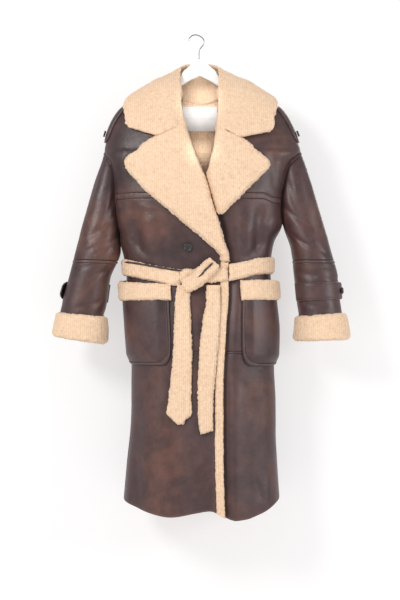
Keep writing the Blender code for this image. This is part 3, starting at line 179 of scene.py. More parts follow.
# Pockets: level, side angle (degrees round the section from the side seam), inner edge x
POCKET_R = np.array([(-0.7010, -4.0, -0.068), (-0.735, -4.0, -0.067), (-0.773, -4.0, -0.0655), (-0.812, -4.0, -0.064), (-0.841, -3.0, -0.0645), (-0.856, 2.0, -0.069), (-0.864, 8.0, -0.074), (-0.869, 16.0, -0.080)])
POCKET_L = np.array([(-0.7010, -4.0, 0.119), (-0.735, -4.0, 0.1185), (-0.773, -4.0, 0.118), (-0.812, -4.0, 0.118), (-0.841, -3.0, 0.1195), (-0.858, 2.0, 0.124), (-0.867, 8.0, 0.130), (-0.872, 16.0, 0.138)])
# Pocket bands: top level at the side and at the inner end, bottom level
BAND_R = (-0.650, -0.663, -0.7005)
BAND_L = (-0.651, -0.652, -0.7005)

BELT_W = 0.040        # belt width
# Belt middle round the body: angle (degrees, 0 right side, 90 front, 180 left side, negative behind), level
BELT_LINE_F = np.array([(-0.200, -0.613), (-0.180, -0.616), (-0.109, -0.633), (-0.038, -0.644), (0.020, -0.640), (0.080, -0.631), (0.131, -0.621), (0.160, -0.614), (0.209, -0.609)])


def pchip(t, x):
    """smooth monotone curve through a table whose first column rises or falls"""
    t = np.asarray(t, float)
    if t[0, 0] > t[-1, 0]:
        t = t[::-1]
    xs, ys = t[:, 0], t[:, 1]
    h = np.diff(xs); d = np.diff(ys) / h
    m = np.zeros_like(ys)
    p = d[:-1] * d[1:]
    ok = p > 0
    m[1:-1] = np.where(ok, 2 * p / np.where(ok, d[:-1] + d[1:], 1.0), 0.0)
    m[0], m[-1] = d[0], d[-1]
    x = np.clip(np.asarray(x, float), xs[0], xs[-1])
    i = np.clip(np.searchsorted(xs, x, side='right') - 1, 0, len(xs) - 2)
    s = (x - xs[i]) / h[i]
    return ((1 + 2 * s) * (1 - s) ** 2 * ys[i] + s * (1 - s) ** 2 * h[i] * m[i]
            + s * s * (3 - 2 * s) * ys[i + 1] + s * s * (s - 1) * h[i] * m[i + 1])


def col(table, k, z):
    return pchip(table[:, [0, k]], z)


def smooth(x):
    x = np.clip(x, 0, 1)
    return x * x * (3 - 2 * x)


def ring(z, phi, side):
    """arm surface: angle 0 outer side, 90 front, 180 towards the body, negative behind"""
    T = ARM_R if side < 0 else ARM_L
    z, phi = np.broadcast_arrays(np.asarray(z, float), np.asarray(phi, float))
    xo, xi = col(T, 1, z), col(T, 2, z)
    b = np.where(phi >= 0, col(T, 3, z), col(T, 4, z))
    c, s = np.cos(phi), np.sin(phi)
    x = (xo + xi) / 2 + (xo - xi) / 2 * np.sign(c) * np.abs(c) ** 0.92
    y = col(T, 5, z) - b * np.sign(s) * np.abs(s) ** 0.92
    return np.stack([x, y, z - col(T, 6, z) * (x - (xo + xi) / 2) * (1 if side < 0 else -1)], -1)


def ring_normal(z, phi, side):
    """outward normal of the arm surface"""
    z, phi = np.broadcast_arrays(np.asarray(z, float), np.asarray(phi, float))
    du = ring(z, phi + 0.04, side) - ring(z, phi - 0.04, side)
    dv = ring(z - 0.008, phi, side) - ring(z + 0.008, phi, side)
    n = np.cross(dv, du) * (-1 if side > 0 else 1)
    return n / np.linalg.norm(n, axis=-1, keepdims=True)


def hole_z(phi_deg, side):
    return pchip(HOLE_R if side < 0 else HOLE_L, np.abs(phi_deg))


def hole_phi(z, side):
    return np.radians(pchip((HOLE_R if side < 0 else HOLE_L)[:, ::-1], z))


def side_point(z, side):
    """where the body panels end at each level: side x, and how far forward and back of the middle their edges lie"""
    z = np.asarray(z, float)
    H = HOLE_R if side < 0 else HOLE_L
    top, low = H[0, 1], H[-1, 1]
    x = col(BODY, 1 if side < 0 else 2, z)
    ph = hole_phi(np.clip(z, low, top), side)
    f, b = ring(np.clip(z, low, top), ph, side), ring(np.clip(z, low, top), -ph, side)
    inside = (z < top) & (z > low)
    fade = smooth((low - z) / 0.05)
    x_low = ring(np.array(low), np.array(math.pi), side)[0]
    y_low = ring(np.array(low), np.array(math.pi), side)[1]
    x = np.where(inside, f[..., 0], np.where(z <= low, x_low * (1 - fade) + x * fade, x))
    yf = np.where(inside, f[..., 1], np.where(z <= low, y_low * (1 - fade), 0.0))
    yb = np.where(inside, b[..., 1], np.where(z <= low, y_low * (1 - fade), 0.0))
    return x, yf, yb


def body(z, beta):
    """body surface: beta 0 right side, pi/2 centre front, pi left side, negative behind"""
    z, beta = np.broadcast_arrays(np.asarray(z, float), np.asarray(beta, float))
    n = col(BODY, 5, z)
    c, s = np.cos(beta), np.sin(beta)
    cc = -np.sign(c) * np.abs(c) ** (2 / n)
    ss = np.abs(s) ** (2 / n)
    xr, fr, br = side_point(z, -1)
    xl, fl, bl = side_point(z, 1)
    x = np.where(cc < 0, XM + (XM - xr) * cc, XM + (xl - XM) * cc)
    f = np.where(cc < 0, fr, fl)
    b = np.where(cc < 0, br, bl)
    y = np.where(beta >= 0, f - (col(BODY, 3, z) + f) * ss, b + (col(BODY, 4, z) - b) * ss)
    return np.stack([x, y, z], -1)


def normal(z, beta):
    """outward normal of the body surface"""
    z, beta = np.broadcast_arrays(np.asarray(z, float), np.asarray(beta, float))
    sg = np.where(beta >= 0, 1.0, -1.0)

    def raw(a):
        du = body(z, a + 0.02) - body(z, a - 0.02)
        dv = body(np.clip(z - 0.006, -1.3, -0.120), a) - body(np.clip(z + 0.006, -1.3, -0.120), a)
        n = np.cross(dv, du)
        return n / np.linalg.norm(n, axis=-1, keepdims=True)
    a = np.clip(np.abs(beta), 0.03, math.pi - 0.03)
    n = raw(sg * a)
    # at a closed side the front and back share one normal
    near = np.minimum(np.abs(beta), math.pi - np.abs(beta))
    right = np.abs(beta) < math.pi / 2
    H0 = np.where(right, HOLE_R[-1, 1], HOLE_L[-1, 1])
    shut = np.where((z > HOLE_R[0, 1] + 0.004) | (z < H0 - 0.02), 1.0, 0.0) * (1 - smooth(near / 0.35))
    m = raw(-sg * a)
    n = n * (1 - 0.5 * shut[..., None]) + m * (0.5 * shut[..., None])
    return n / np.linalg.norm(n, axis=-1, keepdims=True)


def beta_at(x, z, back=False):
    """angle of the point of the body surface at x on a level"""
    x, z = np.broadcast_arrays(np.asarray(x, float), np.asarray(z, float))
    xr, xl = side_point(z, -1)[0], side_point(z, 1)[0]
    n = col(BODY, 5, z)
    cc = np.clip(np.where(x < XM, (x - XM) / (XM - xr), (x - XM) / (xl - XM)), -1, 1)
    b = np.arccos(-np.sign(cc) * np.abs(cc) ** (n / 2))
    return -b if back else b


def sink(x, z):
    """the left front lies under the right front: how far its surface drops there"""
    return 0.0125 * smooth((pchip(EDGE_R, z) + 0.024 - x) / 0.018) * smooth((-0.30 - z) / 0.06)


def fold(x, z, beta):
    """height of the soft folds over the plain body form"""
    h = 0.0 * x
    for side, x0, z0, x1, z1, w, a in FOLDS:
        t = (z0 - z) / (z0 - z1)
        c = x0 + (x1 - x0) * t
        run = smooth(t / 0.30) * np.where(z1 > -1.2, smooth((1 - t) / 0.25), t < 1.2)
        h = h + np.where(beta * side >= 0, a * np.exp(-((x - c) / w) ** 2) * run, 0.0)
    return h


def put(z, beta, lift, under=False):
    p, n = body(z, beta), normal(z, beta)
    lift = np.asarray(lift, float) + fold(p[..., 0], p[..., 2], beta + 0 * p[..., 0]) - (sink(p[..., 0], p[..., 2]) if under else 0.0)
    return p + n * lift[..., None]


def inside(z, beta, t, under=False):
    """fleece side of a panel: the same levels, drawn in by the thickness"""
    z, beta = np.broadcast_arrays(np.asarray(z, float), np.asarray(beta, float))
    p, n = body(z, beta), normal(z, beta)
    e = 0.006
    up, dn = np.clip(z + e, -1.3, -0.120), np.clip(z - e, -1.3, -0.120)
    left = p[..., 0] > XM
    k = np.where(left, 2, 1)
    sx = np.where(left, (side_point(up, 1)[0] - side_point(dn, 1)[0]), (side_point(up, -1)[0] - side_point(dn, -1)[0])) / (up - dn)
    sd = np.where(beta >= 0, col(BODY, 3, up) - col(BODY, 3, dn), col(BODY, 4, up) - col(BODY, 4, dn)) / (up - dn)
    tx = t * np.minimum(np.sqrt(1 + sx ** 2), 1.7)
    ty = t * np.minimum(np.sqrt(1 + sd ** 2), 1.6)
    half = np.where(left, side_point(z, 1)[0] - XM, XM - side_point(z, -1)[0])
    q = p.copy()
    q[..., 0] = XM + (p[..., 0] - XM) * (1 - tx / half)
    ye = np.where(left, np.where(beta >= 0, side_point(z, 1)[1], side_point(z, 1)[2]), np.where(beta >= 0, side_point(z, -1)[1], side_point(z, -1)[2]))
    d = np.where(beta >= 0, col(BODY, 3, z) + ye, col(BODY, 4, z) - ye)
    q[..., 1] = ye + (p[..., 1] - ye) * (1 - ty / d)
    h = fold(p[..., 0], p[..., 2], beta) - (sink(p[..., 0], p[..., 2]) if under else 0.0)
    return q + n * h[..., None]


def hem_z(z, x, back):
    """levels near the bottom stretched down to the hem's wave"""
    drop = pchip(HEM_BACK if back else HEM_FRONT, x)
    return z - drop * smooth((-1.00 - z) / (-1.00 - HEM_Z))

# ---------------------------------------------------------------- helpers
def crom(P, t):
    """smooth curve through the points of the first axis, at places t from 0 to 1"""
    P = np.asarray(P, float)
    P = np.concatenate([2 * P[:1] - P[1:2], P, 2 * P[-1:] - P[-2:-1]])
    m = len(P) - 3
    u = np.clip(np.asarray(t, float), 0, 1) * m
    i = np.minimum(u.astype(int), m - 1)
    s = (u - i).reshape((-1,) + (1,) * (P.ndim - 1))
    a, b, c, d = P[i], P[i + 1], P[i + 2], P[i + 3]
    return 0.5 * (2 * b + (c - a) * s + (2 * a - 5 * b + 4 * c - d) * s * s + (3 * b - a - 3 * c + d) * s ** 3)


def hash01(i, j, k, s):
    h = (i * 73856093) ^ (j * 19349663) ^ (k * 83492791) ^ (s * 26544357)
    h = h & 0xffffffff
    h = ((h ^ (h >> 13)) * 1274126177) & 0xffffffff
    h = ((h ^ (h >> 15)) * 668265263) & 0xffffffff
    return ((h ^ (h >> 16)) & 0xffff) / 65535.0


def tufts(P, pitch, jitter=0.75, seed=1):
    """curl pattern: 1 at the middle of a curl, falling to 0 between curls"""
    Q = P / np.asarray(pitch, float)
    C = np.floor(Q).astype(np.int64)
    best = np.full(len(P), 9.0)
    for di in (-1, 0, 1):
        for dj in (-1, 0, 1):
            for dk in (-1, 0, 1):
                i, j, k = C[:, 0] + di, C[:, 1] + dj, C[:, 2] + dk
                d = 0
                for ax, (c, s) in enumerate(((i, 1), (j, 2), (k, 3))):
                    w = jitter * (0.55 if ax == 0 else 1.0)
                    d = d + (c + 0.5 + (hash01(i, j, k, s + 7 * seed) - 0.5) * w - Q[:, ax]) ** 2
                best = np.minimum(best, d)
    return np.clip(1 - np.sqrt(best) / 0.95, 0, 1)


def lattice(P, scale, seed=5):
    """smooth value noise from 0 to 1"""
    Q = P * scale
    C = np.floor(Q).astype(np.int64)
    f = Q - C
    f = f * f * (3 - 2 * f)
    r = 0
    for di in (0, 1):
        for dj in (0, 1):
            for dk in (0, 1):
                w = (f[:, 0] if di else 1 - f[:, 0]) * (f[:, 1] if dj else 1 - f[:, 1]) * (f[:, 2] if dk else 1 - f[:, 2])
                r = r + w * hash01(C[:, 0] + di, C[:, 1] + dj, C[:, 2] + dk, seed)
    return r


def vertex_normals(V, F):
    n = np.cross(V[F[:, 2]] - V[F[:, 0]], V[F[:, 3]] - V[F[:, 1]])
    N = np.zeros_like(V)
    for k in range(4):
        np.add.at(N, F[:, k], n)
    return N / np.maximum(np.linalg.norm(N, axis=1, keepdims=True), 1e-12)


MAT = {}


def make(name, V, F, mats, fm, attrs=None, sharp=None):
    """object from points, quads and a material number for each quad"""
    v0 = np.einsum('ij,ij->i', V[F[:, 0]], np.cross(V[F[:, 1]], V[F[:, 2]])).sum() + np.einsum('ij,ij->i', V[F[:, 0]], np.cross(V[F[:, 2]], V[F[:, 3]])).sum()
    if v0 < 0:
        F = F[:, ::-1]
    me = bpy.data.meshes.new(name)
    me.vertices.add(len(V)); me.vertices.foreach_set('co', np.ascontiguousarray(V, dtype=np.float32).ravel())
    me.loops.add(F.size); me.loops.foreach_set('vertex_index', np.ascontiguousarray(F, dtype=np.int32).ravel())
    me.polygons.add(len(F)); me.polygons.foreach_set('loop_start', np.arange(0, F.size, 4, dtype=np.int32))
    me.polygons.foreach_set('material_index', np.asarray(fm, dtype=np.int32))
    me.update(calc_edges=True)
    me.polygons.foreach_set('use_smooth', np.ones(len(F), dtype=bool))
    if sharp:
        me.set_sharp_from_angle(angle=math.radians(sharp))
    for k, a in (attrs or {}).items():
        at = me.attributes.new(k, 'FLOAT', 'POINT')
        at.data.foreach_set('value', np.ascontiguousarray(a, dtype=np.float32).ravel())
    for m in mats:
        me.materials.append(MAT[m])
    ob = bpy.data.objects.new(name, me)
    bpy.context.scene.collection.objects.link(ob)
    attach(ob, "root")
    return ob


def wall_quads(m, n, wrap):
    A = np.arange(m * n).reshape(m, n)
    if wrap:
        A = np.concatenate([A, A[:, :1]], 1)
    B = A + m * n

    def q(a, b, c, d):
        return np.stack([x.ravel() for x in (a, b, c, d)], 1)
    F = [q(A[:-1, :-1], A[1:, :-1], A[1:, 1:], A[:-1, 1:]), q(B[:-1, :-1], B[:-1, 1:], B[1:, 1:], B[1:, :-1])]
    R = [q(A[0, :-1], A[0, 1:], B[0, 1:], B[0, :-1]), q(A[-1, :-1], B[-1, :-1], B[-1, 1:], A[-1, 1:])]
    if not wrap:
        R += [q(A[:-1, 0], B[:-1, 0], B[1:, 0], A[1:, 0]), q(A[:-1, -1], A[1:, -1], B[1:, -1], B[:-1, -1])]
    return F, R


def shell(name, A, B, mats, wrap=False, seam_shade=None, node=None, sharp=48, worn=None):
    """closed wall of hide: first material outside and on its cut edges, second inside"""
    m, n = A.shape[:2]
    F, R = wall_quads(m, n, wrap)
    V = np.concatenate([A.reshape(-1, 3), B.reshape(-1, 3)])
    fm = np.concatenate([np.zeros(len(F[0])), np.full(len(F[1]), min(1, len(mats) - 1))] + [np.zeros(len(r)) for r in R])
    z = np.zeros(m * n)
    at = {'seam_shade': np.concatenate([z if seam_shade is None else np.broadcast_to(seam_shade, (m, n)).ravel(), z]),
          'worn': np.concatenate([z if worn is None else np.broadcast_to(worn, (m, n)).ravel(), z])}
    ob = make(name, V, np.concatenate(F + R), mats, fm, at, sharp)
    if node:
        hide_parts(*([node] if isinstance(node, str) else node))
    return ob


PITCH = (0.0052, 0.0054, 0.0062)


def fleece(name, A, B, node=None, wrap=False, curl=0.0017, back=True, soft=0.0012, mat='fleece', pitch=PITCH, shade=None):
    """closed pelt of curly pile, its curls in the mesh on every side that shows"""
    m, n = A.shape[:2]
    F, R = wall_quads(m, n, wrap)
    F = np.concatenate(F + R)
    V = np.concatenate([A.reshape(-1, 3), B.reshape(-1, 3)])
    v0 = np.einsum('ij,ij->i', V[F[:, 0]], np.cross(V[F[:, 1]], V[F[:, 2]])).sum() + np.einsum('ij,ij->i', V[F[:, 0]], np.cross(V[F[:, 2]], V[F[:, 3]])).sum()
    if v0 < 0:
        F = F[:, ::-1]
    N = vertex_normals(V, F)
    t = tufts(V, pitch)
    t2 = tufts(V, (0.0088, 0.0090, 0.0098), 0.9, 3)
    big = lattice(V, 60.0)
    side = np.ones(len(V))
    if not back:
        side[m * n:] = 0.15
    thick = np.linalg.norm(A.reshape(-1, 3) - B.reshape(-1, 3), axis=1)
    rim = np.tile(1 + 0.9 * (1 - smooth(thick / 0.0055)), 2)
    h = (curl * t + 1.1 * curl * t2) * side * rim + soft * (big - 0.35) * side - 0.0009
    V = V + N * h[:, None]
    # the curl height, kept as the pile attribute, drives the painted shade between the curls in the fleece material
    t = np.clip(0.55 * t + 0.45 * t2 + 0.12, 0, 1)
    pile = t if shade is None else t * np.concatenate([np.broadcast_to(shade, (m, n)).ravel()] * 2)
    ob = make(name, V, F, [mat], np.zeros(len(F)), {'pile': pile}, None)
    if node:
        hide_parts(*([node] if isinstance(node, str) else node))
    return ob


def edge_fine(length, step, r, fine=0.0012):
    """places from 0 to 1 along a length, closer together within r of both ends"""
    k = max(3, int(r / fine))
    a = r * (1 - np.cos(np.linspace(0, math.pi / 2, k + 1)))
    mid = np.linspace(r, length - r, max(3, int((length - 2 * r) / step) + 1))
    return np.unique(np.round(np.concatenate([a, mid, length - a]), 6)) / length


def round_share(d, r):
    """share of the half thickness at distance d from a rounded edge of radius r"""
    e = np.clip(d / r, 0, 1)
    return np.sqrt(np.clip(1 - (1 - e) ** 2, 0, 1))


def thread(name, runs, mats=('thread',), long=0.0028, pitch=0.0042, wide=0.0009, high=0.0006):
    """stitches lying along runs of (points, normals)"""
    VV, FF, n0 = [], [], 0
    for P, N in runs:
        P, N = np.asarray(P, float).reshape(-1, 3), np.asarray(N, float).reshape(-1, 3)
        s = np.concatenate([[0], np.cumsum(np.linalg.norm(np.diff(P, axis=0), axis=1))])
        if s[-1] < pitch * 2:
            continue
        c = np.arange(pitch / 2, s[-1] - pitch / 2, pitch)
        at = lambda w: np.stack([np.interp(w, s, P[:, k]) for k in range(3)], 1)
        p, q = at(c - long / 2), at(c + long / 2)
        nn = np.stack([np.interp(c, s, N[:, k]) for k in range(3)], 1)
        nn /= np.linalg.norm(nn, axis=1, keepdims=True)
        t = (q - p) / np.linalg.norm(q - p, axis=1, keepdims=True)
        b = np.cross(nn, t)
        ring8 = []
        for e, f, up in ((p, 0.55, 0.15), ((p * 0.75 + q * 0.25), 1.0, 1.0), ((p * 0.25 + q * 0.75), 1.0, 1.0), (q, 0.55, 0.15)):
            for sb, un in ((-1, -0.25), (-0.6, up), (0.6, up), (1, -0.25)):
                ring8.append(e + b * (wide / 2 * sb * f) + nn * (high * un))
        R = np.stack(ring8, 1)
        k = len(c)
        VV.append(R.reshape(-1, 3))
        base = n0 + 16 * np.arange(k)[:, None]
        f = []
        for a in range(3):
            for w in range(4):
                x = (w + 1) % 4
                f.append((4 * a + w, 4 * a + x, 4 * a + 4 + x, 4 * a + 4 + w))
        f.append((3, 2, 1, 0)); f.append((12, 13, 14, 15))
        FF.append((base[:, None, :] + np.array(f)[None]).reshape(-1, 4))
        n0 += 16 * k
    V, F = np.concatenate(VV), np.concatenate(FF)
    return make(name, V, F, list(mats), np.zeros(len(F)), None, None)


# ---------------------------------------------------------------- materials
def begin(name, rough, metal=0.0):
    m = bpy.data.materials.new(name)
    m.use_nodes = True
    t = m.node_tree
    b = t.nodes['Principled BSDF']
    b.inputs['Roughness'].default_value = rough
    b.inputs['Metallic'].default_value = metal
    c = t.nodes.new('ShaderNodeTexCoord')
    MAT[name] = m
    return m, t, b, c.outputs['Object']


def noise(t, vec, scale, detail=3.0, rough=0.55, distort=0.0):
    n = t.nodes.new('ShaderNodeTexNoise')
    n.inputs['Scale'].default_value = scale
    n.inputs['Detail'].default_value = detail
    n.inputs['Roughness'].default_value = rough
    n.inputs['Distortion'].default_value = distort
    t.links.new(vec, n.inputs['Vector'])
    return n.outputs['Fac']


def cells(t, vec, scale, feature='F1', smoothness=None, randomness=1.0):
    n = t.nodes.new('ShaderNodeTexVoronoi')
    n.feature = feature
    n.inputs['Scale'].default_value = scale
    n.inputs['Randomness'].default_value = randomness
    if smoothness is not None and feature == 'SMOOTH_F1':
        n.inputs['Smoothness'].default_value = smoothness
    t.links.new(vec, n.inputs['Vector'])
    return n.outputs['Distance']


def stretch(t, vec, scale):
    n = t.nodes.new('ShaderNodeMapping')
    n.inputs['Scale'].default_value = scale
    t.links.new(vec, n.inputs['Vector'])
    return n.outputs['Vector']


def ramp(t, fac, *stops):
    n = t.nodes.new('ShaderNodeValToRGB')
    e = n.color_ramp.elements
    while len(e) < len(stops):
        e.new(0.5)
    for k, (p, c) in zip(e, stops):
        k.position = p
        k.color = (*c, 1) if hasattr(c, '__len__') else (c, c, c, 1)
    t.links.new(fac, n.inputs['Fac'])
    return n.outputs['Color']


def mix(t, fac, a, b, kind='MIX'):
    n = t.nodes.new('ShaderNodeMix')
    n.data_type = 'RGBA'
    n.blend_type = kind
    for v, k in ((fac, 0), (a, 6), (b, 7)):
        if hasattr(v, 'is_output'):
            t.links.new(v, n.inputs[k])
        elif k == 0:
            n.inputs[0].default_value = v
        else:
            n.inputs[k].default_value = (*v, 1)
    return n.outputs[2]


def calc(t, op, a, b=None, clamp=False):
    n = t.nodes.new('ShaderNodeMath')
    n.operation = op
    n.use_clamp = clamp
    for v, k in ((a, 0), (b, 1)):
        if v is None:
            continue
        if hasattr(v, 'is_output'):
            t.links.new(v, n.inputs[k])
        else:
            n.inputs[k].default_value = v
    return n.outputs[0]


def attribute(t, name):
    n = t.nodes.new('ShaderNodeAttribute')
    n.attribute_name = name
    return n.outputs['Fac']


def bump(t, height, dist, strength=1.0, after=None):
    n = t.nodes.new('ShaderNodeBump')
    n.inputs['Distance'].default_value = dist
    n.inputs['Strength'].default_value = strength
    t.links.new(height, n.inputs['Height'])
    if after is not None:
        t.links.new(after, n.inputs['Normal'])
    return n.outputs['Normal']


def leather(name, dark, mid, red, bloom):
    m, t, b, o = begin(name, 0.46)
    big = noise(t, o, 6.5, 4.0, 0.62, 0.6)
    base = ramp(t, big, (0.34, dark), (0.50, mid), (0.66, red))
    haze = ramp(t, noise(t, stretch(t, o, (1.6, 1.6, 0.8)), 5.2, 3.0, 0.5, 0.3), (0.44, 0.0), (0.62, 1.0))
    c = mix(t, calc(t, 'MULTIPLY', haze, 0.55), base, bloom)
    cloud = noise(t, o, 38.0, 5.0, 0.65)
    c = mix(t, 0.55, c, ramp(t, cloud, (0.30, 0.62), (0.70, 1.30)), 'MULTIPLY')
    speck = noise(t, o, 420.0, 2.0, 0.6)
    c = mix(t, 0.45, c, ramp(t, speck, (0.30, 0.72), (0.70, 1.22)), 'MULTIPLY')
    c = mix(t, calc(t, 'MULTIPLY', attribute(t, 'worn'), 0.5), c, (0.150, 0.088, 0.072))
    # painted shade: near-black colour along the stitch grooves and the joins of the pieces, from the seam_shade mask
    c = mix(t, calc(t, 'MULTIPLY', attribute(t, 'seam_shade'), 0.80, True), c, (0.014, 0.009, 0.009))
    t.links.new(c, b.inputs['Base Color'])
    r = ramp(t, cloud, (0.30, 0.33), (0.70, 0.47))
    t.links.new(r, b.inputs['Roughness'])
    b.inputs['Sheen Weight'].default_value = 0.05
    b.inputs['Sheen Roughness'].default_value = 0.40
    b.inputs['Sheen Tint'].default_value = (0.86, 0.78, 0.82, 1)
    grain = cells(t, o, 640.0, 'F1')
    soft = noise(t, o, 95.0, 4.0, 0.6, 0.4)
    nrm = bump(t, soft, 0.0016, 0.35)
    nrm = bump(t, grain, 0.00035, 0.55, nrm)
    t.links.new(nrm, b.inputs['Normal'])
    return m


leather('leather', (0.034, 0.0165, 0.0165), (0.066, 0.0310, 0.0290), (0.116, 0.050, 0.037), (0.072, 0.039, 0.043))
# a darker copy of the leather, for the belt's turned edge and the straps' undersides: painted shade
leather('leather_shaded_edge', (0.020, 0.012, 0.012), (0.032, 0.019, 0.018), (0.050, 0.027, 0.022), (0.036, 0.026, 0.028))


def pile(name, crevice_shade, low, lit, curled):
    m, t, b, o = begin(name, 0.95)
    rib = stretch(t, o, (1.0, 1.0, 0.8))
    fine = cells(t, rib, 330.0, 'F1')
    if curled:
        f = attribute(t, 'pile')
    else:
        f = calc(t, 'SUBTRACT', 1.0, cells(t, stretch(t, o, (1.0, 0.6, 0.85)), 190.0, 'F1'))
    f = calc(t, 'ADD', calc(t, 'MULTIPLY', f, 0.85), calc(t, 'MULTIPLY', calc(t, 'SUBTRACT', 0.55, fine), 0.30), True)
    # painted shade between the curls and painted light on the curl tops: the colour follows the curl height from the
    # dark crevice colour to the lit colour
    c = ramp(t, f, (0.02, crevice_shade), (0.30, low), (0.72, lit))
    wv = t.nodes.new('ShaderNodeTexWave')
    wv.bands_direction = 'X'
    wv.inputs['Scale'].default_value = 59.0
    wv.inputs['Distortion'].default_value = 1.6
    wv.inputs['Detail'].default_value = 1.0
    wv.inputs['Detail Scale'].default_value = 2.0
    t.links.new(o, wv.inputs['Vector'])
    c = mix(t, 0.8, c, ramp(t, wv.outputs['Fac'], (0.0, (0.90, 0.86, 0.82)), (0.55, (1.0, 1.0, 1.0))), 'MULTIPLY')
    c = mix(t, 0.6, c, ramp(t, noise(t, o, 11.0, 3.0), (0.32, (0.965, 0.94, 0.91)), (0.68, (1.0, 1.0, 1.0))), 'MULTIPLY')
    c = mix(t, 0.60, c, ramp(t, noise(t, o, 190.0, 3.0, 0.65), (0.36, (0.875, 0.845, 0.805)), (0.62, (1.045, 1.045, 1.045))), 'MULTIPLY')
    t.links.new(c, b.inputs['Base Color'])
    b.inputs['Sheen Weight'].default_value = 0.30
    b.inputs['Sheen Roughness'].default_value = 0.60
    b.inputs['Sheen Tint'].default_value = (1.0, 0.90, 0.78, 1)
    b.inputs['Specular IOR Level'].default_value = 0.20
    nrm = bump(t, calc(t, 'SUBTRACT', 1.0, fine), 0.0012, 0.60)
    if not curled:
        nrm = bump(t, f, 0.0024, 0.75, nrm)
    nrm = bump(t, wv.outputs['Fac'], 0.0012, 0.35, nrm)
    nrm = bump(t, noise(t, o, 900.0, 2.0), 0.0006, 0.5, nrm)
    t.links.new(nrm, b.inputs['Normal'])
    return m


pile('fleece', (0.585, 0.378, 0.238), (0.775, 0.555, 0.385), (0.875, 0.665, 0.485), True)
pile('fleece_inside', (0.74, 0.490, 0.310), (0.86, 0.620, 0.430), (0.940, 0.710, 0.510), False)

m, t, b, o = begin('button_horn', 0.32)
s = noise(t, stretch(t, o, (60.0, 60.0, 320.0)), 1.0, 4.0, 0.6, 1.5)
t.links.new(ramp(t, s, (0.30, (0.012, 0.010, 0.010)), (0.55, (0.034, 0.028, 0.027)), (0.75, (0.085, 0.066, 0.058))), b.inputs['Base Color'])
t.links.new(ramp(t, s, (0.3, 0.24), (0.7, 0.40)), b.inputs['Roughness'])
t.links.new(bump(t, noise(t, o, 500.0, 3.0), 0.0003, 0.35), b.inputs['Normal'])

m, t, b, o = begin('thread', 0.62)
t.links.new(ramp(t, noise(t, o, 900.0, 2.0), (0.35, (0.020, 0.013, 0.012)), (0.65, (0.052, 0.034, 0.030))), b.inputs['Base Color'])
b.inputs['Sheen Weight'].default_value = 0.3
t.links.new(bump(t, noise(t, stretch(t, o, (1.0, 1.0, 2.5)), 1600.0, 1.0), 0.0002, 0.6), b.inputs['Normal'])

m, t, b, o = begin('label_cloth', 0.78)
w1 = t.nodes.new('ShaderNodeTexWave'); w1.bands_direction = 'X'; w1.inputs['Scale'].default_value = 420.0; w1.inputs['Distortion'].default_value = 0.6
w2 = t.nodes.new('ShaderNodeTexWave'); w2.bands_direction = 'Z'; w2.inputs['Scale'].default_value = 520.0; w2.inputs['Distortion'].default_value = 0.6
t.links.new(o, w1.inputs['Vector']); t.links.new(o, w2.inputs['Vector'])
wv = calc(t, 'MULTIPLY', w1.outputs['Fac'], w2.outputs['Fac'])
c = mix(t, 0.5, ramp(t, noise(t, o, 45.0, 3.0), (0.35, (0.90, 0.89, 0.88)), (0.65, (0.97, 0.965, 0.955))), ramp(t, wv, (0.0, 0.88), (0.6, 1.0)), 'MULTIPLY')
t.links.new(c, b.inputs['Base Color'])
b.inputs['Sheen Weight'].default_value = 0.2
t.links.new(bump(t, wv, 0.0002, 0.5), b.inputs['Normal'])

m, t, b, o = begin('hanger_paint', 0.36)
c = ramp(t, noise(t, stretch(t, o, (3.0, 30.0, 30.0)), 5.0, 4.0), (0.3, (0.90, 0.895, 0.885)), (0.7, (0.965, 0.962, 0.955)))
t.links.new(c, b.inputs['Base Color'])
t.links.new(ramp(t, noise(t, o, 60.0, 3.0), (0.3, 0.30), (0.7, 0.44)), b.inputs['Roughness'])
t.links.new(bump(t, noise(t, stretch(t, o, (0.2, 1.0, 1.0)), 420.0, 3.0), 0.0004, 0.35), b.inputs['Normal'])

m, t, b, o = begin('hook_wire', 0.24, 1.0)
t.links.new(ramp(t, noise(t, o, 260.0, 3.0), (0.3, (0.24, 0.24, 0.25)), (0.7, (0.40, 0.40, 0.41))), b.inputs['Base Color'])
t.links.new(ramp(t, noise(t, o, 800.0, 2.0), (0.3, 0.18), (0.7, 0.34)), b.inputs['Roughness'])
t.links.new(bump(t, noise(t, o, 1500.0, 2.0), 0.0001, 0.4), b.inputs['Normal'])

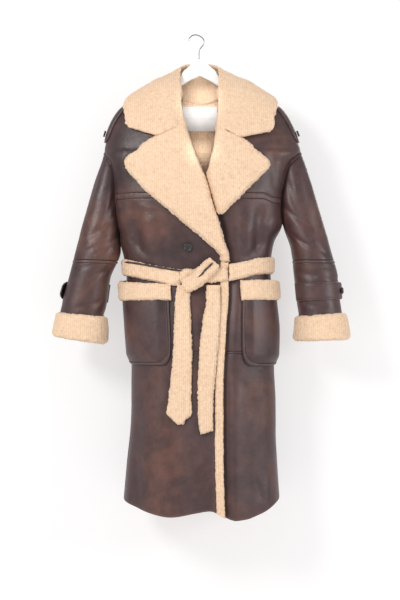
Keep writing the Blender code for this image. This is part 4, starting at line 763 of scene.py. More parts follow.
# ---------------------------------------------------------------- creases
# Softer creases of the body: side (1 front, -1 back), ends (x, level) and (x, level), half width, height
CREASES = (
    (1, -0.196, -0.470, -0.150, -0.560, 0.0070, -0.0018), (1, -0.186, -0.530, -0.120, -0.592, 0.0060, -0.0016),
    (1, -0.090, -0.540, -0.020, -0.596, 0.0080, -0.0014), (1, 0.100, -0.500, 0.108, -0.598, 0.0090, 0.0016),
    (1, 0.196, -0.480, 0.168, -0.565, 0.0070, -0.0020), (1, 0.190, -0.545, 0.120, -0.596, 0.0060, -0.0014),
    (1, 0.115, -0.450, 0.122, -0.560, 0.0100, -0.0016), (1, -0.150, -0.455, -0.108, -0.470, 0.0060, 0.0010),
    (1, -0.160, -0.290, -0.190, -0.400, 0.0120, -0.0022), (1, 0.196, -0.300, 0.206, -0.420, 0.0110, -0.0022),
    (1, -0.178, -0.300, -0.196, -0.360, 0.0060, 0.0012), (1, 0.176, -0.420, 0.205, -0.438, 0.0050, -0.0012),
    (1, -0.012, -0.690, -0.004, -0.860, 0.0120, -0.0018), (1, 0.016, -0.850, 0.028, -1.230, 0.0190, 0.0030),
    (1, -0.150, -0.900, -0.120, -1.020, 0.0160, -0.0018), (1, -0.085, -0.960, -0.060, -1.130, 0.0150, -0.0014),
    (1, 0.120, -0.900, 0.140, -1.010, 0.0120, -0.0016), (1, 0.192, -1.150, 0.182, -1.240, 0.0080, 0.0016),
    (1, 0.140, -1.120, 0.176, -1.225, 0.0070, -0.0016), (1, -0.170, -1.060, -0.150, -1.230, 0.0100, -0.0014),
    (1, 0.096, -0.690, 0.092, -0.830, 0.0100, 0.0014), (1, -0.060, -1.150, -0.090, -1.235, 0.0110, 0.0012),
    (-1, -0.150, -0.470, -0.080, -0.590, 0.0080, -0.0022), (-1, 0.160, -0.480, 0.100, -0.590, 0.0080, -0.0020),
    (-1, -0.040, -0.520, -0.030, -0.592, 0.0090, -0.0018), (-1, 0.070, -0.510, 0.060, -0.592, 0.0080, -0.0016),
    (-1, -0.140, -0.290, -0.170, -0.440, 0.0120, -0.0024), (-1, 0.170, -0.290, 0.196, -0.430, 0.0120, -0.0024),
    (-1, -0.150, -0.645, -0.140, -0.860, 0.0110, 0.0022), (-1, 0.150, -0.645, 0.156, -0.900, 0.0110, 0.0020),
    (-1, -0.030, -0.645, -0.036, -0.800, 0.0090, 0.0018), (-1, 0.050, -0.645, 0.060, -0.850, 0.0100, -0.0020),
    (-1, -0.120, -1.000, -0.160, -1.230, 0.0130, 0.0018), (-1, 0.160, -0.980, 0.186, -1.230, 0.0120, -0.0018),
    (-1, -0.090, -0.215, -0.020, -0.232, 0.0100, -0.0012), (-1, 0.040, -0.235, 0.120, -0.225, 0.0090, -0.0010),
)
# Creases of the arms: side, ends (angle round the arm from its outer side in degrees, level), half width, height
ARM_CREASES = (
    (-1, 150, -0.470, 60, -0.545, 0.0090, -0.0030), (-1, 170, -0.520, 80, -0.585, 0.0080, -0.0028), (-1, 120, -0.545, 35, -0.590, 0.0060, -0.0018),
    (-1, 140, -0.420, 95, -0.520, 0.0100, -0.0026), (-1, 20, -0.360, 60, -0.480, 0.0160, -0.0016), (-1, 60, -0.400, 30, -0.540, 0.0180, 0.0018),
    (-1, 165, -0.610, 95, -0.640, 0.0070, -0.0026), (-1, 100, -0.606, 30, -0.630, 0.0060, -0.0016), (-1, 150, -0.700, 70, -0.725, 0.0070, -0.0020),
    (-1, -150, -0.480, -60, -0.560, 0.0090, -0.0028), (-1, -120, -0.420, -60, -0.500, 0.0120, -0.0022), (-1, -160, -0.620, -80, -0.640, 0.0070, -0.0024),
    (-1, 10, -0.530, -50, -0.575, 0.0080, -0.0016), (-1, 40, -0.705, -20, -0.732, 0.0060, -0.0012),
    (1, 150, -0.450, 70, -0.520, 0.0090, -0.0030), (1, 172, -0.500, 95, -0.570, 0.0080, -0.0026), (1, 130, -0.540, 40, -0.588, 0.0060, -0.0020),
    (1, 120, -0.380, 90, -0.500, 0.0110, -0.0026), (1, 30, -0.350, 70, -0.470, 0.0150, -0.0016), (1, 50, -0.420, 25, -0.560, 0.0180, 0.0018),
    (1, 165, -0.625, 80, -0.640, 0.0080, -0.0034), (1, 120, -0.606, 20, -0.622, 0.0060, -0.0024), (1, 60, -0.640, -10, -0.650, 0.0060, -0.0016),
    (1, 100, -0.640, 50, -0.655, 0.0060, 0.0016), (1, 150, -0.704, 70, -0.722, 0.0070, -0.0020),
    (1, -150, -0.470, -70, -0.550, 0.0090, -0.0028), (1, -120, -0.410, -60, -0.490, 0.0120, -0.0022), (1, -160, -0.615, -90, -0.640, 0.0070, -0.0026),
    (1, 10, -0.540, -50, -0.580, 0.0080, -0.0016),
)
plain_fold = fold


def segment(u, v, u0, v0, u1, v1, w, a):
    du, dv = u1 - u0, v1 - v0
    L = math.hypot(du, dv)
    t = ((u - u0) * du + (v - v0) * dv) / (L * L)
    d = ((u - u0) * dv - (v - v0) * du) / L
    return a * np.exp(-(d / w) ** 2) * smooth(t / 0.30 + 0.15) * smooth((1 - t) / 0.30 + 0.15) * (t > -0.2) * (t < 1.2)


def fold(x, z, beta):
    """the large folds and the softer creases over the plain form"""
    h = plain_fold(x, z, beta)
    for side, x0, z0, x1, z1, w, a in CREASES:
        h = h + np.where(beta * side >= 0, segment(x, z, x0, z0, x1, z1, w, a), 0.0)
    # the hide never hangs quite flat
    q = np.stack([np.ravel(x), np.zeros(np.size(x)) + np.where(np.ravel(beta) > 0, 0.0, 3.0), np.ravel(z) * 0.55], 1)
    n = (lattice(q, 16.0, 11) - 0.5) * 0.0026
    return h + n.reshape(np.shape(h)) * smooth((-0.24 - z) / 0.05)


def arm_fold(phi, z, side):
    h = 0.0 * phi
    for s, p0, z0, p1, z1, w, a in ARM_CREASES:
        if s == side:
            h = h + segment(np.degrees(phi) * 0.00096, z, p0 * 0.00096, z0, p1 * 0.00096, z1, w, a)
    q = np.stack([np.cos(phi).ravel() * 0.06 + side, np.sin(phi).ravel() * 0.06, (z + 0 * phi).ravel() * 0.6], 1)
    return h + ((lattice(q, 22.0, 17) - 0.5) * 0.0024).reshape(h.shape)


# ---------------------------------------------------------------- body panels
YOKE = (-0.4317, 0.0077)     # seam strips: middle level, half width
SKIRT = (-0.8366, 0.0029)


def welt(d, w, up=0.0009, cut=0.0013):
    """raised strip between two rows of stitching"""
    e = np.abs(d) - w
    return up * (1 - smooth((e + 0.0006) / 0.0012)) - cut * np.exp(-(e / 0.0009) ** 2)


# mask of the painted shade along both grooves of a stitched strip
def groove_shade_line(d, w, r=0.0009):
    return np.exp(-((np.abs(d) - w) / r) ** 2)


def levels(top, extra=()):
    z = list(np.arange(top, HEM_Z, -0.0046)) + [HEM_Z]
    q = np.array([-0.0022, -0.0013, -0.0006, 0.0, 0.0006, 0.0013, 0.0022])
    for c, w in (YOKE, SKIRT):
        z = [v for v in z if abs(v - c) > w + 0.0028]
        z += list(c - w + q) + list(c + w + q)
        if w > 0.005:
            z += [c - 0.003, c, c + 0.003]
    z = [v for v in z if v > HEM_Z + 0.0052]
    z += [HEM_Z + 0.0050, HEM_Z + 0.0040, HEM_Z + 0.0031, HEM_Z + 0.0022, HEM_Z + 0.0012, HEM_Z + 0.0005, HEM_Z]
    return np.unique(np.round(z, 5))[::-1]


def slant(x, z, front):
    """the yoke's seam dips towards the left armhole"""
    s = -0.0115 * smooth((x - 0.172) / 0.036) if front else -0.006 * smooth((np.abs(x - XM) - 0.17) / 0.04)
    return s * np.exp(-((z - YOKE[0]) / 0.026) ** 2)


def panel_lift(Z0, X, d_edge, front, close_in):
    """height of seams over the panel, the mask of painted shade along its stitch grooves, and where the hide is rubbed
    """
    h, mark = 0.0 * Z0, 0.0 * Z0
    puck = np.sin(X / 0.0105 * 2 * math.pi + 3 * np.sin(X * 61)) * 0.5 + 0.5
    for (c, w), p in ((YOKE, 0.0007), (SKIRT, 0.0003)):
        d = Z0 - c
        h = h + welt(d, w) + p * puck * np.exp(-(d / (w * 0.7 + 1e-4)) ** 2)
        mark = np.maximum(mark, groove_shade_line(d, w))
    e = Z0 - HEM_Z                                  # turned hem; the groove of its stitching row is multiplied by 0
    h = h - 0.0010 * np.exp(-((e - 0.0030) / 0.0009) ** 2) * 0 - 0.0022 * (1 - round_share(e, 0.0022))
    h = h - 0.0020 * (1 - round_share(d_edge, 0.0020)) * close_in
    worn = np.exp(-((e - 0.0022) / 0.003) ** 2) * 0.8
    worn = np.maximum(worn, 0.55 * np.exp(-((np.abs(Z0 - YOKE[0])) / (YOKE[1] * 0.6)) ** 2) * puck)
    worn = np.maximum(worn, 0.5 * np.exp(-((d_edge - 0.004) / 0.003) ** 2) * close_in)
    return h, np.clip(mark, 0, 1), np.clip(worn, 0, 1)


def side_start(z, side, back, gap=0.0001):
    n = col(BODY, 5, z)
    x, f, b = side_point(z, side)
    d = np.where(back, col(BODY, 4, z) - b, col(BODY, 3, z) + f)
    return np.arcsin(np.clip(gap / d, 0, 1) ** (n / 2))


def panel(name, z, B, front, under, node, a_side):
    Z0 = np.repeat(z[:, None], B.shape[1], 1)
    X = body(Z0, B)[..., 0]
    Z = Z0 + slant(X, Z0, front)
    P = put(Z, B, 0 * Z, under)
    # distance in from the panel's long edges
    s = np.concatenate([np.zeros((len(z), 1)), np.cumsum(np.linalg.norm(np.diff(P, axis=1), axis=2), axis=1)], 1)
    d_edge = np.minimum(s, s[:, -1:] - s)
    h, mark, worn = panel_lift(Z0, X, d_edge, front, 1.0)
    Zh = hem_z(Z, X, not front)
    A = put(Zh, B, h, under)
    I = inside(Zh, B, PANEL, under)
    ob = shell(name, A, I, ('leather', 'fleece_inside'), seam_shade=mark, worn=worn, node=node)
    return ob, Zh, B, Z0


def uneven(n, fine=(0.0, 0.004, 0.009, 0.016, 0.026)):
    u = np.linspace(fine[-1], 1 - fine[-1], n)
    return np.unique(np.concatenate([fine, u, 1 - np.array(fine)]))


z = levels(-0.120)
a0 = side_start(z, -1, False)
trim = np.interp(-z, [0.55, 0.570, 0.600], [0.0092, 0.0092, 0.0212])
a1 = beta_at(pchip(EDGE_R, z) - trim, z)
B = a0[:, None] + (a1 - a0)[:, None] * uneven(62)
panel_R, ZR, BR, Z0R = panel('shell_front_right', z, B, True, False, 'front_right', 0)

a0 = math.pi - side_start(z, 1, False)
ER = pchip(EDGE_R, z)
edge = pchip(EDGE_L, z) + np.interp(-z, [0.4, 0.5], [0.0092, 0.0])
xa = np.maximum(ER + 0.026, edge + 0.012)
aa = beta_at(xa, z)
B1 = a0[:, None] + (aa - a0)[:, None] * np.concatenate([[0.0, 0.006, 0.013, 0.022], np.linspace(0.036, 1, 42)])
xs = xa[:, None] + (edge - xa)[:, None] * np.linspace(0, 1, 17)[1:]
B = np.concatenate([B1, beta_at(xs, z[:, None] + 0 * xs)], 1)
panel_L, ZL, BL, Z0L = panel('shell_front_left', z, B, True, True, 'front_left', 0)

zr = levels(-0.120)
u = uneven(96)
Z0 = np.repeat(zr[:, None], len(u), 1)
a0, a1 = side_start(zr, -1, True), math.pi - side_start(zr, 1, True)
B = -(a0[:, None] + (a1 - a0)[:, None] * u)
drop = pchip(NECK_DROP, 1 - np.abs(np.abs(B) - math.pi / 2) / (math.pi / 2))
top, keep = -0.120, -0.280
Z = np.where(Z0 > keep, keep + (Z0 - keep) * (top - drop - keep) / (top - keep), Z0)
X = body(Z, B)[..., 0]
Z = Z + slant(X, Z0, False)
P = put(Z, B, 0 * Z)
s = np.concatenate([np.zeros((len(zr), 1)), np.cumsum(np.linalg.norm(np.diff(P, axis=1), axis=2), axis=1)], 1)
h, mark, worn = panel_lift(Z0, X, np.minimum(s, s[:, -1:] - s), False, 1.0)
mid = X - XM                                        # centre back seam below the yoke
on = smooth((YOKE[0] - YOKE[1] - Z0) / 0.004)
h = h + welt(mid, 0.0042, 0.0006, 0.0012) * on
# painted shade along the grooves of the centre back seam
mark = np.maximum(mark, groove_shade_line(mid, 0.0042, 0.0016) * on)
Zb = hem_z(Z, X, True)
shell_back = shell('shell_back', put(Zb, B, h), inside(Zb, B, PANEL), ('leather', 'fleece_inside'), seam_shade=np.clip(mark, 0, 1), worn=worn, node='back')
BB, ZB0 = B, Z0

# ---------------------------------------------------------------- sleeves
ELBOW, CUFF_TOP, CUFF_END = -0.597, -0.7400, -0.805


def tube(name, side, Zr, phi, lift, mark, worn, node):
    P = ring(Zr, phi[None, :], side)
    n = ring_normal(Zr, phi[None, :], side)
    if np.mean(n[:, len(phi) // 2, 0] * side) < 0:
        n = -n
    F = arm_fold(phi[None, :] + 0 * Zr, Zr, side)
    F = F * smooth((Zr - Zr[-1:]) / 0.02 + 0.0) * smooth((Zr[:1] - Zr) / 0.02)
    A = P + n * (lift + F)[..., None]
    I = P + n * (F - PANEL)[..., None]
    return shell(name, A, I, ('leather', 'fleece_inside'), wrap=True, seam_shade=mark, worn=worn, node=node), P, n, F


NPHI = 128
arms = {}
for side, tag in ((-1, 'right'), (1, 'left')):
    phi = np.linspace(-math.pi, math.pi, NPHI, endpoint=False)
    zt = hole_z(np.degrees(np.abs(phi)), side) - 0.0001
    top = np.concatenate([[0.0, 0.0006, 0.0014, 0.0022, 0.0032, 0.0050, 0.0068, 0.0078, 0.0085, 0.0092, 0.0100, 0.0115], np.arange(0.016, 0.060, 0.0046)])
    last = ELBOW + 0.0002
    rows, marks, lifts, wr = [], [], [], []
    for d in top:
        f = np.minimum(d, (zt - last) * d / 0.20)
        rows.append(zt - d)
        lifts.append(0 * zt + float(welt(np.array(d), 0.0085, 0.0011)) - 0.0018 * (1 - float(round_share(np.array(d), 0.0022))))
        # painted shade along the groove of the armhole seam
        marks.append(0 * zt + math.exp(-((d - 0.0085) / 0.0009) ** 2))
        wr.append(0 * zt + 0.6 * math.exp(-((d - 0.004) / 0.003) ** 2))
    z1 = zt - top[-1]
    low = np.array([0.0, 0.0008, 0.0018, 0.0030, 0.0042, 0.0055])
    k = 58
    for q in np.linspace(0, 1, k)[1:]:
        rows.append(z1 + (last + 0.0075 - z1) * q)
        lifts.append(0 * zt); marks.append(0 * zt); wr.append(0 * zt)
    for d in (0.0058, 0.0045, 0.0034, 0.0024, 0.0015, 0.0007, 0.0):
        rows.append(0 * zt + last + d)
        lifts.append(0 * zt + float(-0.0018 * (1 - round_share(np.array(d), 0.0024))))
        # painted shade where the upper sleeve meets the lower sleeve
        marks.append(0 * zt + 0.5 * math.exp(-(d / 0.0012) ** 2)); wr.append(0 * zt)
    Zr = np.array(rows)
    up = tube('sleeve_upper_shell_' + tag, side, Zr, phi, np.array(lifts), np.clip(np.array(marks), 0, 1), np.array(wr), 'sleeve_upper_' + tag)
    z0 = ELBOW - 0.0002
    d = np.concatenate([[0.0, 0.0007, 0.0015, 0.0024, 0.0036, 0.0050, 0.0060, 0.0068, 0.0075, 0.0082, 0.0090, 0.0102],
                        np.arange(0.0145, z0 - CUFF_TOP - 0.006, 0.0044), [z0 - CUFF_TOP - 0.004, z0 - CUFF_TOP - 0.002, z0 - CUFF_TOP - 0.0002]])
    Zr = (z0 - d)[:, None] + 0 * phi[None]
    L = welt(d, 0.0075, 0.0010) - 0.0018 * (1 - round_share(d, 0.0024))
    # painted shade along the groove of the elbow seam
    lo = tube('sleeve_lower_shell_' + tag, side, Zr, phi, L[:, None] + 0 * Zr, np.exp(-((d - 0.0075) / 0.0009) ** 2)[:, None] + 0 * Zr,
              0.5 * np.exp(-((d - 0.0035) / 0.003) ** 2)[:, None] + 0 * Zr, 'sleeve_lower_' + tag)
    arms[tag] = (up, lo)
    # turned cuff of full pile
    phi = np.linspace(-math.pi, math.pi, 190, endpoint=False)
    L = CUFF_TOP - 0.0004 - CUFF_END
    v = edge_fine(L, 0.0021, 0.007)
    zz = CUFF_TOP - 0.0004 - v * L
    r = round_share(np.minimum(v, 1 - v) * L, 0.008)
    bulge = 0.0012 * np.sin(v * math.pi)
    o_ = 0.0020 + 0.0075 * r + bulge
    P = ring(zz[:, None], phi[None, :], side)
    n = ring_normal(zz[:, None], phi[None, :], side)
    if np.mean(n[:, 95, 0] * side) < 0:
        n = -n
    sag = 0.0012 * np.sin(3 * phi + 1.3 * side)[None, :] * np.sin(v * math.pi)[:, None]
    fleece('cuff_pile_' + tag, P + n * (o_[:, None] + sag)[..., None], P - n * (0.0010 + 0.0026 * r)[:, None, None], node='cuff_' + tag, wrap=True)

# ---------------------------------------------------------------- collar
LIP = ((1, 0), (1, 0), (1, 0), (1, 0), (1, 0), (1, 0.004), (0, 0.0035), (0, 0.002),
       (0, 0.0035), (1, 0.004), (1, 0), (1, 0), (1, 0), (1, 0), (1, 0))


def side_beta(x, z, s):
    return {'F': float(beta_at(x, z)), 'B': float(beta_at(x, z, True)), 'R': 0.0, 'L': math.pi}[s]


def collar_tables():
    """along the collar: neck seam, fold, outer side of the fold, lip; then angle and level of the fall's rest, middle and edge"""
    free, laid = [], []
    for k, (zn, F, A, M, E) in enumerate(COLLAR):
        F = np.array(F)
        q = []
        for (x, zq, side) in (A, M, E):
            b = side_beta(x, zq, side)
            if k > 7:
                b = -math.pi if side == 'L' else (b - 2 * math.pi if b > 0 else b)
            q += [b, zq]
        laid.append(q)
        a = put(np.array(q[1]), np.array(q[0] if q[0] >= -math.pi else q[0] + 2 * math.pi), np.array(0.016))
        d = (a - F)[:2]
        F2 = F + np.array([*(d / np.linalg.norm(d) * 0.014), -0.002])
        side = -1 if k < 7 else 1
        if zn and k not in (4, 10):
            zq = np.array(zn)
            x = pchip(EDGE_R if side < 0 else EDGE_L, zq)
            b = beta_at(x, zq)
            g = 0.013 if k in (3, 11) else 0.004
            N = body(zq, b) - normal(zq, b) * 0.0045 + np.array([-side * g, 0.0, 0.0])
        elif zn:
            N = body(np.array(-0.120), np.array(0.0 if side < 0 else math.pi)) + np.array([-side * 0.017, 0.0, 0.0050])
        else:
            ang = -math.pi * (k - 4) / 6
            dr = float(pchip(NECK_DROP, 1 - abs(abs(ang) - math.pi / 2) / (math.pi / 2)))
            N = body(np.array(-0.120 - dr), np.array(ang)) + np.array([0.0, -0.0020, 0.0050])
        P0 = N if LIP[k][0] else F + np.array([0.0, 0.0, -0.014])
        free.append(np.concatenate([N, F, F2, P0, [LIP[k][1]]]))
    return np.array(free), np.array(laid)


FREE, LAID = collar_tables()


def collar_fall(tu, tw):
    f, q = crom(FREE, tu), crom(LAID, tu)
    d = f[:, 6:9] - f[:, 3:6]
    d[:, 2] = 0
    d /= np.linalg.norm(d, axis=1, keepdims=True)
    up = np.array([[0.0, 0.0, 1.0]])
    g = f[:, 9:12] - f[:, 3:6]
    g = f[:, 3:6] + g * np.minimum(0.5, 0.016 / np.linalg.norm(g, axis=1))[:, None]
    pts = [f[:, 9:12], g, f[:, 3:6], f[:, 6:9]]
    low = [f[:, 9:12] + d * 0.0045, g + d * 0.0050 - up * 0.0015, f[:, 3:6] + d * 0.0055 - up * 0.0055, f[:, 6:9] - d * 0.0005 - up * 0.0065]
    for b, zq, h, t in ((q[:, 0], q[:, 1], 0.0165, 0.0080), ((q[:, 0] + q[:, 2]) / 2, (q[:, 1] + q[:, 3]) / 2, 0.0158, 0.0092), (q[:, 2], q[:, 3], 0.0152, FLEECE),
                        ((q[:, 2] + q[:, 4]) / 2, (q[:, 3] + q[:, 5]) / 2, 0.0148, FLEECE), (q[:, 4], q[:, 5], 0.0145, FLEECE)):
        b = np.where(b < -math.pi, b + 2 * math.pi, b)
        pts.append(put(zq, b, h + 0 * zq))
        low.append(put(zq, b, h - t + 0 * zq))
    return crom(np.array(pts), tw).transpose(1, 0, 2), crom(np.array(low), tw).transpose(1, 0, 2)


tu = np.unique(np.concatenate([[0, 0.0012, 0.003, 0.0055, 0.0085], np.linspace(0.012, 0.988, 330), 1 - np.array([0, 0.0012, 0.003, 0.0055, 0.0085])]))
tw = np.unique(np.concatenate([np.linspace(0, 0.94, 66), 1 - 0.06 * (1 - np.sin(np.linspace(0, math.pi / 2, 9)))]))
V, U = collar_fall(tu, tw)
uu, ww = np.meshgrid(tu, tw, indexing='ij')
share = np.maximum(round_share(np.minimum(uu, 1 - uu), 0.005), 0.45) * round_share(1 - ww, 0.045)
q = (1 - np.maximum(share, 0.04))[..., None]
q = np.where(ww[..., None] < 0.1, np.minimum(q, 0.5), q)
mid = (V + U) / 2
fleece('collar_pile', V + (mid - V) * q, U + (mid - U) * q, node='collar', curl=0.0016)

ts = np.linspace(11 / 28, 17 / 28, 90)
f = crom(FREE, ts)
N_, top_ = f[:, 0:3] + np.array([[0.0, -0.0045, -0.0065]]), f[:, 9:12] - f[:, 12:13] * np.array([[0.0, 0.0, 1.0]])
t_ = np.linspace(0, 1, 16)
V = N_[:, None] + (top_ - N_)[:, None] * t_[None, :, None]
n = np.cross(np.gradient(V, axis=0), np.gradient(V, axis=1))
n /= np.linalg.norm(n, axis=-1, keepdims=True)
if n[45, 8, 1] > 0:
    n = -n
fleece('collar_stand_pile', V, V - n * 0.0045, node='collar_stand', curl=0.0010, soft=0.0004)

# ---------------------------------------------------------------- lapels and edge band


def lapel(name, table, side, under, node):
    L = abs(table[0, 0] - table[-1, 0])
    v = edge_fine(L, 0.0021, 0.006)
    z = table[0, 0] + (table[-1, 0] - table[0, 0]) * v
    table = np.vstack([table[:1] + np.array([0.006, 0.0, 0.0]), table])
    z = z + 0.0055 * smooth(1 - v * L / 0.020)
    xo, xi = crom_x(table, 1, z - 0.0075 * smooth((z + 0.318) / 0.02)), crom_x(table, 2, z)
    span = np.abs(xi - xo)
    n = 58
    fr = np.concatenate([0.5 * (1 - np.cos(np.linspace(0, math.pi, n)))])
    fr = np.unique(np.concatenate([0.35 * fr + 0.65 * np.linspace(0, 1, n)]))
    X = xo[:, None] + (xi - xo)[:, None] * fr
    Z = np.repeat(z[:, None], len(fr), 1)
    do, di = np.abs(X - xo[:, None]), np.abs(xi[:, None] - X)
    # outer edge rounded; its distance is measured square to the slanting edge
    so = np.abs(np.gradient(xo, z)); co = 1 / np.sqrt(1 + so ** 2)
    do = do * np.maximum(co, 0.45)[:, None]
    w0 = np.minimum(0.0088, span * 0.12)[:, None]
    up = 0.0022 + 0.0125 * round_share(do, 0.010)
    roll = -0.0002 + 0.0147 * round_share(di, 0.0105)
    up = np.minimum(up, roll)
    dn = 0.0022 + 0.0010 * (1 - round_share(do, 0.006))
    dn = np.where(di < w0, np.minimum(dn, -0.0040 + 0.0062 * np.clip(di / w0, 0, 1)), dn)
    if under:
        low = smooth((-0.366 - z) / 0.012)[:, None]
        dn = dn * (1 - low) + np.maximum(dn, 0.0024) * low
        up = up * (1 - low) + np.maximum(up, 0.0040) * low
    ends = (1 - v) * L
    e = (0.30 + 0.70 * round_share(ends, 0.008))[:, None]
    top = dn + np.maximum(up - dn, 0.0006) * e
    if under:
        s = sink(X + 0.008, Z) - 0.0008
        top, dn = top - s, dn - s
    B = beta_at(X, Z)
    return fleece(name, put(Z, B, top - 0.0006), put(Z, B, dn + 0.0004), node=node, back=False)


def crom_x(table, k, z):
    """smooth outline through a lapel's rows"""
    return pchip(table[:, [0, k]], z)


lapel('lapel_pile_right', LAPEL_R, -1, False, 'lapel_right')
lapel('lapel_pile_left', LAPEL_L, 1, True, 'lapel_left')

z = -0.604 - (0.622) * edge_fine(0.622, 0.0021, 0.004)
wv = np.concatenate([[0, 0.0006, 0.0016, 0.003, 0.0045], np.linspace(0.0065, 0.014, 5), [0.0160, 0.0175, 0.0188, 0.0198, 0.0205]])
E_ = pchip(EDGE_R, z)
X = (E_ - 0.0205)[:, None] + wv[None]
Z = hem_z(np.repeat(z[:, None], len(wv), 1), X, False)
B = beta_at(X, Z)
up = -0.0005 + 0.0040 * round_share(np.minimum(wv, 0.0205 - wv), 0.0045)
dn = -0.0055 - 0.0020 * round_share(np.minimum(wv, 0.0205 - wv), 0.0045)
fleece('front_edge_pile', put(Z, B, up + 0 * Z), put(Z, B, dn + 0 * Z), node='front_edge_band', curl=0.0014, back=False)

# ---------------------------------------------------------------- pockets


def around(Z, B, h, side):
    """point on the body when a strip runs on round the side seam"""
    if side < 0:
        return put(Z, B, h)
    return put(Z, np.where(B > math.pi, B - 2 * math.pi, B), h)


def pocket(tag, table, side):
    z0, z1 = table[0, 0], table[-1, 0]
    z = z0 + (z1 - z0) * edge_fine(z0 - z1, 0.0040, 0.012, 0.0011)
    a0 = np.radians(pchip(table[:, [0, 1]], z))
    a1 = beta_at(pchip(table[:, [0, 2]], z), z)
    if side > 0:
        a0 = math.pi - a0
    fine = np.array([0.0, 0.006, 0.014, 0.022, 0.030, 0.038, 0.046, 0.056, 0.068])
    u = np.unique(np.concatenate([fine, np.linspace(0.085, 0.915, 34), 1 - fine]))
    B = a0[:, None] + (a1 - a0)[:, None] * u
    Z = np.repeat(z[:, None], len(u), 1)
    P = around(Z, B, 0 * Z, side)
    s = np.concatenate([np.zeros((len(z), 1)), np.cumsum(np.linalg.norm(np.diff(P, axis=1), axis=2), axis=1)], 1)
    ds, di = s, s[:, -1:] - s
    # distance in from the rounded outline, on the flat patch
    q = np.stack([s, Z], -1)
    line = np.concatenate([np.stack([s[:, 0] * 0, z], 1)[::4], np.stack([s[-1], Z[-1]], 1), np.stack([s[:, -1], z], 1)[::-1]])
    d = np.full(Z.shape, 1.0)
    for a, b in zip(line[:-1], line[1:]):
        ab = b - a
        L2 = (ab ** 2).sum()
        if L2 < 1e-12:
            continue
        tt = np.clip(((q - a) @ ab) / L2, 0, 1)
        d = np.minimum(d, np.linalg.norm(q - a - tt[..., None] * ab, axis=-1))
    e = np.minimum(smooth(np.minimum(u, 1 - u) / 0.16)[None], smooth((Z - z1) / 0.03))
    out, inn = 0.0056 + 0.0084 * e, 0.0024 + 0.0064 * e
    out = out - 0.0026 * (1 - round_share(d, 0.0026)) - 0.0016 * np.exp(-((d - 0.0068) / 0.0011) ** 2) + 0.0007 * np.exp(-((d - 0.0036) / 0.0022) ** 2)
    # painted shade in the stitch groove and along the patch's outline
    mark = np.exp(-((d - 0.0068) / 0.0012) ** 2) + 0.9 * np.exp(-(d / 0.0011) ** 2)
    worn = 0.7 * np.exp(-((d - 0.0036) / 0.0018) ** 2)
    ob = shell('pocket_patch_' + tag, around(Z, B, out, side), around(Z, B, inn, side), ('leather', 'fleece_inside'), seam_shade=np.clip(mark, 0, 1), worn=worn, node='pocket_' + tag)
    # stitch row along the inner line
    runs = []
    j = int(np.argmin(np.abs(di[len(z) // 2] - 0.0068)))
    k = int(np.argmin(np.abs((z - z1) - 0.0068)))
    O = around(Z, B, out, side)
    Nn = normal(np.clip(Z, -1.2, -0.13), np.clip(np.abs(B), 0.02, math.pi - 0.02))
    runs.append((O[2:k, j], Nn[2:k, j]))
    runs.append((O[k, 3:j], Nn[k, 3:j]))
    return ob, runs


def band(tag, lev, table, side):
    a0 = math.radians(-7.0)
    a1 = float(beta_at(table[0, 2] - side * 0.003, -0.68))
    a0 = a0 if side < 0 else math.pi - a0
    u = edge_fine(0.135, 0.0021, 0.005)
    b = a0 + (a1 - a0) * u
    topz = lev[0] + (lev[1] - lev[0]) * u
    H = 0.046
    v = edge_fine(H, 0.0021, 0.006)
    Z = topz[None] + (lev[2] - topz)[None] * v[:, None]
    B = np.repeat(b[None], len(v), 0)
    e = smooth(np.minimum(u, 1 - u) / 0.16)[None]
    inn = 0.0022 + 0.0115 * e + 0 * v[:, None]
    r = np.minimum(round_share(np.minimum(v, 1 - v) * H, 0.006)[:, None], round_share(np.minimum(u, 1 - u) * 0.135, 0.005)[None])
    out = inn + 0.0022 + (0.0098 + 0.0003 * e - 0.0022 - 0.0008) * r
    return fleece('pocket_band_pile_' + tag, around(Z, B, out, side), around(Z, B, inn + 0.0004, side), node='pocket_band_' + tag, back=False, curl=0.0015)


pk_r, runs_pr = pocket('right', POCKET_R, -1)
pk_l, runs_pl = pocket('left', POCKET_L, 1)
th_pocket_r = thread('pocket_stitches_right', runs_pr)
th_pocket_l = thread('pocket_stitches_left', runs_pl)
band('right', BAND_R, POCKET_R, -1)
band('left', BAND_L, POCKET_L, 1)

# ---------------------------------------------------------------- belt


def strap_share(v, w, r=0.0055):
    return round_share((1 - np.abs(v)) * w / 2, r)


def belt_run(name, b0, b1, length, lift, node):
    u = edge_fine(length, 0.0021, 0.004)
    b = b0 + (b1 - b0) * u
    back = b0 < -1e-9
    xs = body(np.full(len(b), -0.625), b)[:, 0]
    zc = pchip(BELT_LINE_F, xs) if not back else np.interp(xs, [-0.19, 0.20], [-0.6155, -0.6095])
    v = edge_fine(BELT_W, 0.0021, 0.0055) * 2 - 1
    Z = zc[None] - v[:, None] * BELT_W / 2
    B = np.repeat(b[None], len(v), 0)
    r = strap_share(v, BELT_W)[:, None] * (0.5 + 0.5 * round_share(np.minimum(u, 1 - u) * length, 0.006))[None]
    inn = np.interp(u, *lift)[None] + 0 * Z
    hump = 0.0008 * np.sin(v * math.pi * 0.5 + 0.6)[:, None]
    return fleece(name, put(Z, B, inn + 0.0010 + (BELT_T - 0.0012) * r + hump * r), put(Z, B, inn + 0.0003), node=node, back=False, curl=0.0016)


bR = float(beta_at(-0.0405, -0.645))
bL = float(beta_at(0.0850, -0.630))
belt_run('belt_pile_right', 0.012, bR, 0.160, ([0, 1], [0.002, 0.002]), 'belt_run_right')
belt_run('belt_pile_left', bL, math.pi - 0.012, 0.135, ([0, 0.3], [0.0045, 0.002]), 'belt_run_left')
belt_run('belt_pile_back', -math.pi + 0.012, -0.012, 0.430, ([0, 1], [0.002, 0.002]), 'belt_back')


